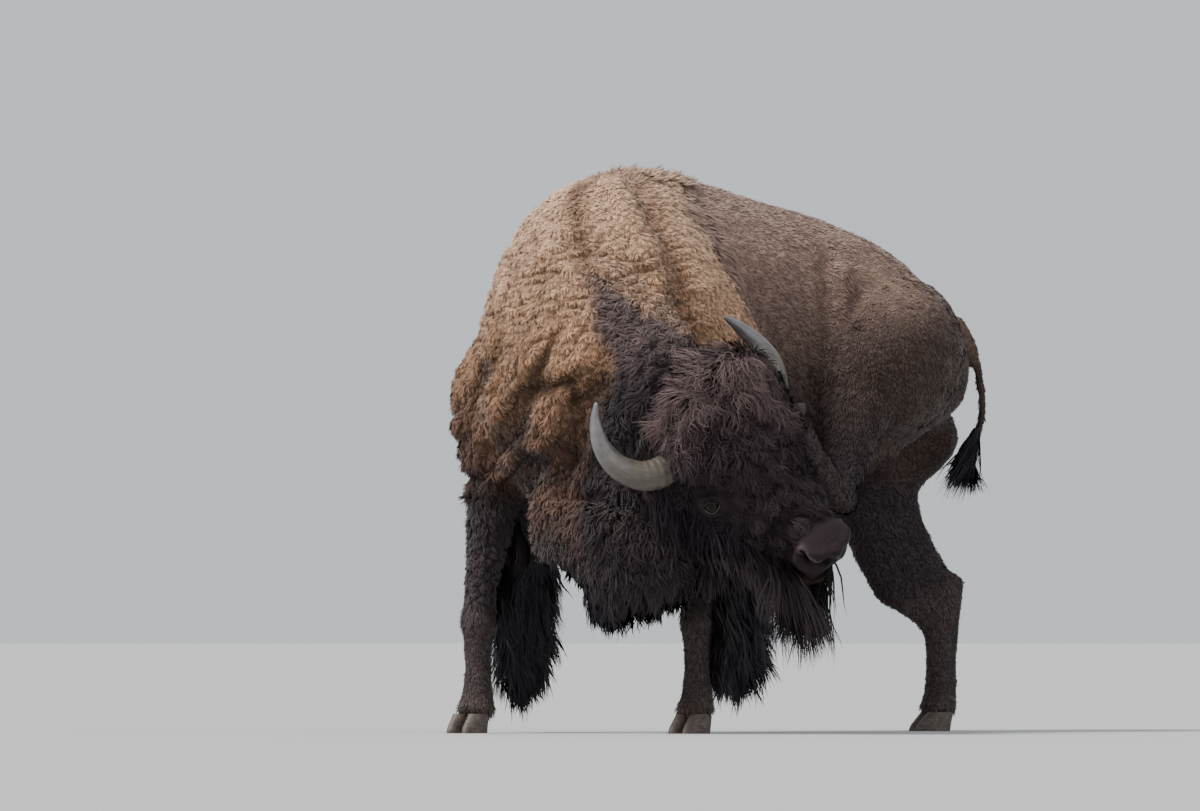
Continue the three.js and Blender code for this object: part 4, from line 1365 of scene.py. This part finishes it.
def blades(roots, length, width, rows, rise, fall, turn, curl, wave=0.0, waves=1.0, sag=0.0, sink=0.003,
           per_lock=14, pull=0.6, lock_turn=0.3, lock_curl=0.4, dome=0.0, ridge=0.5, clump=0,
           clump_pull=0.0):
    """Tapered blades of hair. Each starts at its root, leaves the hide at the angle rise and bends back by
    fall, swings sideways by turn + curl t + wave sin(2 pi waves t), is drawn down by sag t, and towards the
    middle of its lock by pull t^1.4. Its width goes as sin(pi (0.18 + 0.82 t))."""
    ups, lies, rng = roots["normals"], roots["lie"], roots["rng"]
    sides = np.cross(lies, ups)
    count = len(ups)
    lock, inward, outer = gather(roots, per_lock)
    bulge = -dome * inward / (1.7 * np.linalg.norm(inward, axis=1).mean() + 1e-9)
    if clump:
        _, far, apart = gather(roots, clump)
        bulge = 0.5 * bulge - dome * far / (1.7 * np.linalg.norm(far, axis=1).mean() + 1e-9)
        inward, outer = pull * inward + clump_pull * far, 0.4 * outer + 0.6 * apart
    else:
        inward = pull * inward
    own = rng.normal(size=(3, lock.max() + 1))[:, lock]
    phase = own[0] * 3 + rng.normal(0, 0.4, count)

    def spread(value):
        return np.broadcast_to(np.asarray(value, float), (count,))

    length = spread(length) * (1 + 0.12 * own[0])
    width, rise, fall = spread(width), spread(rise), spread(fall)
    turn, curl = spread(turn) + lock_turn * own[1], spread(curl) + lock_curl * own[2]
    wave, sag = spread(wave), spread(sag)
    length = np.maximum(length, 0.004)
    spot = roots["points"] - ups * sink
    rings, naps = [], []
    for k in range(rows):
        t = k / (rows - 1)
        angle = rise - fall * t
        swing = turn + curl * t + wave * np.sin(2 * math.pi * waves * t + phase)
        way = np.cos(angle)[:, None] * (np.cos(swing)[:, None] * lies + np.sin(swing)[:, None] * sides)
        way += np.sin(angle)[:, None] * ups
        way[:, 2] -= sag * t
        way = unit(way)
        across = unit(np.cross(way, ups + 0.15 * lies))
        half = (0.5 * width * math.sin(math.pi * (0.18 + 0.82 * t)))[:, None] * across
        at = spot + inward * t**1.4
        nap = ups + 0.25 * np.cross(across, way) + bulge
        if k < rows - 1:
            rings.append(np.stack([at - half, at + half], 1))
            naps.append(np.stack([unit(nap - ridge * across), unit(nap + ridge * across)], 1))
        else:
            rings.append(at[:, None])
            naps.append(unit(nap)[:, None])
        spot = spot + way * (length / (rows - 1))[:, None]
    points, nap = np.concatenate(rings, 1), np.concatenate(naps, 1)
    pattern = []
    for k in range(0, 2 * (rows - 2), 2):
        pattern += [(k, k + 1, k + 3), (k, k + 3, k + 2)]
    tip = 2 * (rows - 1)
    pattern.append((tip - 2, tip - 1, tip))
    faces = (np.arange(count)[:, None, None] * points.shape[1] + np.array(pattern)).reshape(-1, 3)
    t = np.append(np.repeat(np.linspace(0, 1, rows)[:-1], 2), 1.0)
    across = np.append(np.tile((-1.0, 1.0), rows - 1), 0.0)
    return {"points": points, "faces": faces, "nap": nap, "t": t, "across": across, "lock": own[0],
            "outer": outer}


def face_outward(blade, middle):
    """Turns the nap of hanging hair away from the upright line through a middle, as it hangs in a curtain."""
    away = unit((blade["points"] - middle) * (1, 1, 0))
    blade["nap"] = unit(0.5 * blade["nap"] + away)


def unwrap(roots):
    """The place of each root on an unwrap of the hide: each zone of the piece has its own square, in which
    it is rolled off round its own longest way."""
    points, zones = roots["points"], roots["zone"]
    found = np.unique(zones)
    side = math.ceil(math.sqrt(len(found)))
    out = np.zeros((len(points), 2))
    for k, number in enumerate(found):
        chosen = zones == number
        part = points[chosen] - points[chosen].mean(0)
        axes = np.linalg.eigh(part.T @ part)[1]
        along = part @ axes[:, 2]
        along = (along - along.min()) / max(np.ptp(along), 1e-9)
        round_ = np.arctan2(part @ axes[:, 1], part @ axes[:, 0]) / (2 * math.pi) + 0.5
        tile = np.array((k % side, k // side))
        out[chosen] = (tile + 0.02 + 0.96 * np.stack([round_, along], -1)) / side
    return out


def coat_piece(name, roots, blade, material, slot, *nodes, tip=1.25, root=0.55, uneven=0.12,
               lock_uneven=0.10, gap=0.35):
    """A coat mesh from blades. A hair is darker at its root, as painted shade deep in the coat, and paler at
    its tip, partly bleached and partly painted light. It is uneven from hair to hair and from lock to lock,
    and darker in the gaps between locks, as painted shade."""
    count = len(blade["points"])
    # Painted shade towards the roots and in the gaps between locks; the paler tips are partly painted light.
    shade = roots["rng"].normal(1, uneven, count) * (1 + lock_uneven * blade["lock"])
    shade = shade * (1 + 0.4 * gap - gap * blade["outer"])
    shade = shade[:, None] * (root + (tip - root) * blade["t"])[None]
    tint = roots["tint"][:, None, :3] * np.clip(shade, 0.15, 2.4)[..., None]
    patch = np.stack([blade["across"] * 0.0015, blade["t"] * 0.003 - 0.0015], -1)
    uv = np.clip(unwrap(roots)[:, None] + patch[None], 0, 1)
    piece = make_mesh(
        name, blade["points"].reshape(-1, 3), blade["faces"], {"coat": np.clip(tint, 0, 1).reshape(-1, 3)},
        uv.reshape(-1, 2),
    )
    nap = piece.data.attributes.new("nap", "FLOAT_VECTOR", "POINT")
    nap.data.foreach_set("vector", blade["nap"].astype(np.float32).ravel())
    finish(piece, material, slot, *nodes)


def face_share(hide, names):
    """1 on the faces of the given zones."""
    return np.isin(hide["zone"][hide["faces"][:, 0], 0], zone(*names)).astype(float)


def face_middles(hide):
    """The middle of each face of the hide."""
    return hide["points"][hide["faces"]].mean(1)


# How long hair hangs in locks, and how it is shaded from root to tip.
HANGING = {"per_lock": 16, "pull": 0.7, "lock_turn": 0.2, "lock_curl": 0.4, "dome": 0.5, "ridge": 0.25}
BLACK_SHADES = {"tip": 1.2, "root": 0.65, "uneven": 0.10, "gap": 0.45}


class BISON_OT_short_coat(bpy.types.Operator):
    """The short coat: small flat blades that lie close, with their tips breaking the surface, over the
    flanks, the croup, the thighs, the legs and the tail."""

    bl_idname = "bison.short_coat"
    bl_label = "Short coat"

    def execute(self, context):
        hide = read_hide()
        cape = cape_share(in_body(face_middles(hide)))
        material = coat_material("Bison short summer coat", 0.012, Roughness=0.7, Specular_IOR_Level=0.25,
                                 Sheen_Weight=0.10, Sheen_Roughness=0.5)
        for seed, (name, names, per_m2, length, width) in enumerate((
            ("flank_coat", ("flank", "hump"), 31000, 0.9, 0.0045),
            ("croup_coat", ("croup", "thigh"), 31000, 0.75, 0.0043),
            ("hind_leg_coat", ("shank", "lifted_shank", "lifted_cannon"), 36000, 0.9, 0.0044),
            ("fore_leg_coat", ("cannon", "tail", "scrotum"), 46000, 0.75, 0.0040),
        )):
            density = per_m2 * face_share(hide, names)
            if name == "flank_coat":
                density = density * (1 - cape)
            roots = scatter(hide, density, seed)
            rng, count, at = roots["rng"], len(roots["points"]), roots["points"]
            patch = noise(at, 0.018, 31)
            tall = size_of("short") * length * (1 + 0.25 * patch) * rng.uniform(0.75, 1.2, count)
            tall = np.where(np.isin(roots["zone"], zone("scrotum")), 0.4 * tall, tall)
            coronet = ease(0.11, 0.07, at[:, 2])
            knee = ease(0.30, 0.42, at[:, 2]) * (in_body(at)[:, 0] < 0.3)
            tall *= 1 + 0.9 * coronet + 1.2 * knee
            blade = blades(
                roots, tall, width * rng.uniform(0.75, 1.25, count), 3,
                rise=0.38 + 0.18 * patch + rng.normal(0, 0.10, count), fall=0.35,
                turn=0.5 * noise(at, 0.03, 33) + rng.normal(0, 0.22, count), curl=rng.normal(0, 0.3, count),
                per_lock=10, pull=0.3, lock_turn=0.15, lock_curl=0.2, sink=0.0012, ridge=0.3,
            )
            coat_piece(name, roots, blade, material, "brown_coat", tip=1.15, root=0.78, uneven=0.07,
                       gap=0.25)
        return {"FINISHED"}


class BISON_OT_cape_wool(bpy.types.Operator):
    """The cape: short curling locks of wool in clumps of about 12 mm, longer and hanging in staples lower on
    the neck and shoulders, and the longer hair of the crest behind the hump."""

    bl_idname = "bison.cape_wool"
    bl_label = "Cape wool"

    def execute(self, context):
        hide = read_hide()
        middles = face_middles(hide)
        places = in_body(middles)
        cape = cape_share(places)
        material = coat_material("Bison cape wool", 0.02, Roughness=0.85, Specular_IOR_Level=0.15,
                                 Sheen_Weight=0.15, Sheen_Roughness=0.6)
        side = places[:, 1]
        everywhere = np.ones(len(middles))
        for seed, (name, names, chosen, per_m2, rows, slot) in enumerate((
            ("right_hump_wool", ("hump", "flank"), cape * (side < -0.10), 50000, 3, "tan_wool"),
            ("middle_hump_wool", ("hump", "flank"), cape * (side >= -0.10) * (side < 0.20), 56000, 3,
             "tan_wool"),
            ("left_hump_wool", ("hump", "flank"), cape * (side >= 0.20), 54000, 3, "tan_wool"),
            ("neck_wool", ("neck",), everywhere, 38000, 4, "tan_wool"),
            ("foreleg_wool", ("foreleg",), everywhere, 30000, 4, "dark_hair"),
            ("throat_wool", ("throat",), ease(0.46, 0.52, middles[:, 2]), 38000, 4, "tan_wool"),
        )):
            roots = scatter(hide, per_m2 * face_share(hide, names) * chosen, 50 + seed)
            rng, count, at = roots["rng"], len(roots["points"]), roots["points"]
            up = in_body(at)[:, 2]
            low = ease(1.25, 0.80, up)
            patch = noise(at, 0.010, 51)
            mane = mane_share(at)
            tall = size_of("wool") * (1 + 0.7 * low + 1.5 * mane) * (1 + 0.2 * patch)
            tall *= rng.uniform(0.8, 1.2, count)
            tall *= 1 - 0.55 * np.clip(roots["crease"][:, 0], 0, 1)
            if name == "foreleg_wool":
                short = size_of("wool") * (1 + ease(0.5, 0.8, up)) * rng.uniform(0.8, 1.2, count)
                tall = np.where(up < 0.8, short, tall)
            blade = blades(
                roots, tall, (0.0045 + 0.0012 * low) * rng.uniform(0.8, 1.25, count), rows,
                rise=0.55 - 0.05 * low + 0.10 * mane + 0.25 * patch + rng.normal(0, 0.12, count),
                fall=0.9 - 0.3 * low,
                turn=0.5 * noise(at, 0.022, 53) + rng.normal(0, 0.25, count), curl=rng.normal(0, 0.4, count),
                sag=0.3 * low, per_lock=9, pull=0.5, lock_turn=0.35, lock_curl=0.7, sink=0.002, dome=0.5,
                ridge=0.2,
            )
            coat_piece(name, roots, blade, material, slot, tip=1.12, root=0.68, uneven=0.05,
                       lock_uneven=0.08, gap=0.45)
        share = face_share(hide, ("hump", "flank"))
        share = share * (np.abs(places[:, 1]) < 0.10) * (places[:, 0] > -0.02) * (places[:, 0] < 0.31)
        roots = scatter(hide, 26000 * share * (places[:, 2] > 1.6), 77)
        rng, count = roots["rng"], len(roots["points"])
        roots["lie"] = unit(body_way(roots["points"], (1, 0, -0.1)))
        blade = blades(roots, 0.055 * rng.uniform(0.7, 1.15, count), 0.0065, 6,
                       rise=0.62 + rng.normal(0, 0.12, count),
                       fall=0.5, turn=rng.normal(0, 0.2, count), curl=rng.normal(0, 0.4, count))
        coat_piece("crest_mane", roots, blade, material, "tan_wool", tip=1.3, root=0.5, uneven=0.15)
        return {"FINISHED"}


class BISON_OT_head_hair(bpy.types.Operator):
    """The hair of the head: long wavy locks from the poll over the forehead, hanging locks on the cheeks
    and under the jaw, and short hair towards the muzzle, round the eyes and on the ears."""

    bl_idname = "bison.head_hair"
    bl_label = "Head hair"

    def execute(self, context):
        hide = read_hide()
        middles = in_head(face_middles(hide))
        material = coat_material("Bison head hair", 0.03, Roughness=0.75, Specular_IOR_Level=0.15,
                                 Sheen_Weight=0.03, Sheen_Roughness=0.4)
        share = face_share(hide, ("head", "muzzle")) * (1 - hide["bare"][hide["faces"][:, 0], 0])
        for seed, (name, chosen) in enumerate((
            ("bonnet_hair", middles[:, 2] > 0.02), ("cheek_hair", middles[:, 2] <= 0.02),
        )):
            roots = scatter(hide, 52000 * share * chosen, 91 + seed)
            rng, count, at = roots["rng"], len(roots["points"]), roots["points"]
            spots = in_head(at)
            near_eye = eye_reach(at)
            top = ease(-0.02, 0.12, spots[:, 2]) * ease(0.20, -0.05, spots[:, 1])
            front = ease(0.24, 0.46, spots[:, 1])
            close = ease(0.09, 0.04, near_eye)
            tall = size_of("bonnet") * (0.68 + 0.65 * top) * (1 - 0.45 * front)
            tall *= (0.14 + 0.86 * ease(0.036, 0.085, near_eye)) * (1 - 0.85 * ease(0.43, 0.48, spots[:, 1]))
            far = ease(0.10, 0.19, spots[:, 0]) * ease(0.20, 0.08, spots[:, 1])
            tall *= rng.uniform(0.65, 1.15, count) * (1 + 0.2 * noise(at, 0.05, 61)) * (1 - 0.3 * far)
            patch = noise(at, 0.035, 62)
            blade = blades(
                roots, tall, (0.0035 - 0.0006 * np.maximum(front, close)) * rng.uniform(0.75, 1.25, count),
                5,
                rise=(0.72 + 0.25 * top + 0.2 * patch + rng.normal(0, 0.12, count))
                * (1 - 0.55 * close - 0.1 * front) * (1 - 0.5 * far),
                fall=1.0, turn=0.7 * noise(at, 0.045, 63) + rng.normal(0, 0.20, count),
                curl=0.9 * noise(at, 0.03, 64) + rng.normal(0, 0.30, count),
                wave=0.55, waves=1.4, sag=0.30 * (1 - top), per_lock=18, pull=0.45, lock_turn=0.45,
                lock_curl=0.7,
                dome=0.8, ridge=0.05, clump=110, clump_pull=0.45,
            )
            coat_piece(name, roots, blade, material, "dark_hair", tip=1.10, root=0.85, uneven=0.04,
                       lock_uneven=0.12,
                       gap=0.6)

        below = hide["normals"][hide["faces"][:, 0], 2] < -0.15
        along_jaw = (middles[:, 1] > 0.0) * (middles[:, 1] < 0.50) * (middles[:, 2] < -0.06)
        jaw = face_share(hide, ("head",)) * below * along_jaw
        roots = scatter(hide, 22000 * jaw, 95)
        rng, count = roots["rng"], len(roots["points"])
        spots = in_head(roots["points"])
        tall = (0.13 - 0.04 * ease(0.30, 0.48, spots[:, 1])) * rng.uniform(0.5, 1.1, count)
        blade = blades(roots, tall, 0.0060 * rng.uniform(0.7, 1.3, count), 7,
                       rise=0.45 + rng.normal(0, 0.1, count),
                       fall=0.6, turn=rng.normal(0, 0.15, count), curl=rng.normal(0, 0.3, count), wave=0.3,
                       waves=1.4,
                       sag=1.6, **(HANGING | {"pull": 0.6, "lock_curl": 0.3}))
        face_outward(blade, head((0.02, 0.20, -0.10)))
        coat_piece("jaw_locks", roots, blade, material, "dark_hair", **BLACK_SHADES)

        roots = scatter(hide, 40000 * face_share(hide, ("ear",)), 93)
        rng, count = roots["rng"], len(roots["points"])
        blade = blades(roots, 0.024 * rng.uniform(0.6, 1.2, count), 0.0034, 5,
                       rise=0.35 + rng.normal(0, 0.1, count),
                       fall=0.4, turn=rng.normal(0, 0.3, count), curl=rng.normal(0, 0.4, count), sag=0.2,
                       dome=0.5, ridge=0.2)
        coat_piece("ear_hair", roots, blade, material, "dark_hair", tip=1.15, root=0.75)
        return {"FINISHED"}


class BISON_OT_long_hair(bpy.types.Operator):
    """The long hair: wavy locks that hang from the chin, the throat and the forelegs, root above root, and
    the tuft of the tail."""

    bl_idname = "bison.long_hair"
    bl_label = "Long hair"

    def execute(self, context):
        hide = read_hide()
        material = coat_material("Bison long black hair", 0.03, Roughness=0.6, Specular_IOR_Level=0.3)
        for seed, (name, names, per_m2, length, flare, node) in enumerate((
            ("throat_mane_locks", ("throat",), 23000, 0.75, 0.20, "throat_mane"),
            ("right_chaps_locks", ("right_chaps",), 23000, 1.0, 0.40, "right_chaps"),
            ("left_chaps_locks", ("left_chaps",), 23000, 1.0, 0.45, "left_chaps"),
        )):
            share = face_share(hide, names)
            if name == "throat_mane_locks":
                share *= ease(0.60, 0.52, face_middles(hide)[:, 2])
            roots = scatter(hide, per_m2 * share, 100 + seed)
            rng, count, at = roots["rng"], len(roots["points"]), roots["points"]
            low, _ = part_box(node)
            room = at[:, 2] - low[2]
            tall = size_of("locks") * length * rng.uniform(0.6, 1.1, count)
            if name == "throat_mane_locks":
                tall *= 0.35 + 0.65 * ease(0.24, 0.08, room)
            tall = np.minimum(tall, 0.010 + 0.85 * np.maximum(room, 0) + 0.05 * rng.random(count) ** 2)
            patch = noise(at, 0.05, 71)
            blade = blades(
                roots, tall, 0.0068 * rng.uniform(0.6, 1.3, count), 7,
                rise=flare + 0.3 + 0.2 * patch + rng.normal(0, 0.1, count), fall=0.8,
                turn=0.3 * noise(at, 0.06, 72) + rng.normal(0, 0.12, count),
                curl=rng.normal(0, 0.25, count), wave=0.4, waves=1.5, sag=0.9,
                **HANGING,
            )
            coat_piece(name, roots, blade, material, "dark_hair", node, **BLACK_SHADES)

        # The beard hangs from under the chin and the front of the jaw.
        spots, ups = in_head(face_middles(hide)), hide["normals"][hide["faces"][:, 0]]
        under = face_share(hide, ("head", "muzzle")) * ease(0.15, -0.25, ups[:, 2]) * (spots[:, 1] > 0.20)
        clear_of_mouth = (spots[:, 2] < -0.17) | (spots[:, 1] < 0.44)
        under *= (spots[:, 2] < -0.09) * clear_of_mouth * (spots[:, 1] < 0.56)
        roots = scatter(hide, 44000 * under, 110)
        rng, count, at = roots["rng"], len(roots["points"]), roots["points"]
        # Painted light: the beard takes the legs' colour made 1.4 times paler, as it hangs in the shade under
        # the head.
        roots["tint"] = np.broadcast_to(1.4 * paint("leg"), (count, 3))
        low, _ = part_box("beard")
        spots = in_head(at)
        room = at[:, 2] - low[2] + 0.01
        back = ease(0.42, 0.24, spots[:, 1])
        tall = np.minimum(room, 0.32) * (1 - 0.35 * back) * rng.uniform(0.35, 1.0, count) ** 0.6
        blade = blades(
            roots, tall, 0.0066 * rng.uniform(0.6, 1.3, count), 8, rise=0.22 + rng.normal(0, 0.10, count),
            fall=0.5,
            turn=0.3 * noise(at, 0.06, 72) + rng.normal(0, 0.12, count), curl=rng.normal(0, 0.2, count),
            wave=0.35,
            waves=1.5, sag=2.2, **(HANGING | {"per_lock": 22}),
        )
        face_outward(blade, roots["points"].mean(0))
        coat_piece("beard_locks", roots, blade, material, "dark_hair", "beard", **BLACK_SHADES)

        # The tuft hangs from the end of the tail in separate strands.
        low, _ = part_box("tail_tuft")
        rng = np.random.default_rng(7)
        count = 1400
        drop = rng.uniform(0, 1, count)
        line = body(np.stack([1.470 - 0.03 * drop, np.full(count, -0.036), 0.990 - 0.10 * drop], -1))
        angle = rng.uniform(0, 2 * math.pi, count)
        outward = np.stack([np.cos(angle), np.sin(angle), np.zeros(count)], -1)
        roots = {
            "points": line + outward * 0.012, "normals": outward, "rng": rng,
            "lie": np.broadcast_to(unit(np.array((-0.20, -0.29, -1.0))), (count, 3)),
            "tint": np.broadcast_to(paint("black"), (count, 3)), "zone": np.zeros(count, int),
        }
        tall = np.minimum(rng.uniform(0.04, 0.22, count), roots["points"][:, 2] - low[2] - 0.02)
        blade = blades(roots, tall, 0.0042 * rng.uniform(0.6, 1.3, count), 11,
                       rise=0.17 + rng.normal(0, 0.07, count),
                       fall=0.15, turn=rng.normal(0, 0.12, count), curl=rng.normal(0, 0.2, count), wave=0.15,
                       waves=1.1, sag=0.3, sink=0.0, per_lock=45, pull=1.2, lock_turn=0.2, lock_curl=0.4)
        coat_piece("tail_tuft_locks", roots, blade, material, "dark_hair", "tail_tuft", tip=1.5, root=0.8,
                   uneven=0.2)
        return {"FINISHED"}


# ---- Stage ----
# The camera looks from ahead and to the left of the shoulders, from a little above the floor.
CAMERA_AZIMUTH, CAMERA_ELEVATION = math.radians(55), math.radians(-1.2)
CAMERA_DISTANCE, CAMERA_LENS = 35.0, 329.7  # metres, millimetres
CAMERA_AIM = (-0.2706, -0.5331, 0.1413)  # from the middle of the solids' box
FLOOR_RINGS, FLOOR_AROUND = (4, 12, 60, 400.0), 96


def look_at(piece, target):
    """Turns a lamp or a camera to a point."""
    way = Vector(target) - piece.location
    piece.rotation_euler = way.to_track_quat("-Z", "Y").to_euler()


class BISON_OT_stage(bpy.types.Operator):
    """A pale floor, soft studio light, and a camera far off with a long lens, so that nothing is
    foreshortened."""

    bl_idname = "bison.stage"
    bl_label = "Stage"

    def execute(self, context):
        scene = context.scene
        low, high = (np.array(corner) for corner in CAD_BOUNDS)
        middle = (low + high) / 2
        azimuth, elevation = CAMERA_AZIMUTH, CAMERA_ELEVATION
        back = np.array((math.sin(azimuth) * math.cos(elevation), -math.cos(azimuth) * math.cos(elevation),
                         math.sin(elevation)))
        aim = middle + np.array(CAMERA_AIM)
        data = bpy.data.cameras.new("camera")
        data.sensor_width = 36
        data.lens = CAMERA_LENS
        data.clip_end = 1000
        camera = bpy.data.objects.new("camera", data)
        camera.location = aim + back * CAMERA_DISTANCE
        look_at(camera, aim)
        scene.collection.objects.link(camera)
        scene.camera = camera

        right = np.array((math.cos(azimuth), math.sin(azimuth), 0))
        for name, way, spread, power in (
            ("key", -0.75 * right + 0.35 * back + (0, 0, 1.0), 20, 4.7),
            ("fill", 0.8 * right + 0.8 * back + (0, 0, 0.5), 60, 0.60),
        ):
            light = bpy.data.lights.new(name, "SUN")
            light.angle = math.radians(spread)
            light.energy = power
            lamp = bpy.data.objects.new(name, light)
            lamp.location = middle + 6 * unit(way)
            look_at(lamp, middle)
            scene.collection.objects.link(lamp)
        world = bpy.data.worlds.new("studio")
        scene.world = world
        world.use_nodes = True
        world.node_tree.nodes["Background"].inputs[0].default_value = colour("#dfe4ea")
        world.node_tree.nodes["Background"].inputs[1].default_value = 0.95

        rings, around = len(FLOOR_RINGS), FLOOR_AROUND
        angle = np.linspace(0, 2 * math.pi, around, endpoint=False)
        reach = np.array(FLOOR_RINGS)[:, None]
        flat = np.stack([reach * np.cos(angle), reach * np.sin(angle), np.zeros((rings, around))], -1)
        points = np.concatenate([flat.reshape(-1, 3), [(0, 0, 0)]])
        spot = np.arange(around)
        hub = np.stack([np.full(around, rings * around), spot, (spot + 1) % around], -1)
        faces = np.concatenate([halves(grid_faces(rings, around))[:, ::-1], hub])
        floor = make_mesh("floor", points, faces)
        material, _, bsdf = new_material("Painted studio floor", Roughness=0.85)
        bsdf.inputs["Base Color"].default_value = (*paint("floor"), 1)
        floor.data.materials.append(material)
        return {"FINISHED"}


class BISON_PT_panel(bpy.types.Panel):
    """Lists the pieces of the bull and their settings."""

    bl_idname = "BISON_PT_panel"
    bl_label = "Bison"
    bl_space_type = "VIEW_3D"
    bl_region_type = "UI"
    bl_category = "Bison"

    def draw(self, context):
        for step in STEPS:
            self.layout.operator(step.bl_idname)
        for group in (context.scene.bison_sizes, context.scene.bison_colours):
            for key in group.__annotations__:
                self.layout.prop(group, key)


STEPS = (BISON_OT_stage, BISON_OT_hide, BISON_OT_horns, BISON_OT_eyes, BISON_OT_hooves, BISON_OT_short_coat,
         BISON_OT_cape_wool, BISON_OT_head_hair, BISON_OT_long_hair)
CLASSES = (BISON_PG_colours, BISON_PG_sizes, *STEPS, BISON_PT_panel)


def register():
    for item in CLASSES:
        bpy.utils.register_class(item)
    bpy.types.Scene.bison_colours = bpy.props.PointerProperty(type=BISON_PG_colours)
    bpy.types.Scene.bison_sizes = bpy.props.PointerProperty(type=BISON_PG_sizes)


def unregister():
    del bpy.types.Scene.bison_sizes
    del bpy.types.Scene.bison_colours
    for item in reversed(CLASSES):
        bpy.utils.unregister_class(item)


def main():
    register()
    for step in STEPS:
        group, name = step.bl_idname.split(".")
        getattr(getattr(bpy.ops, group), name)()


if __name__ == "__main__":
    main()
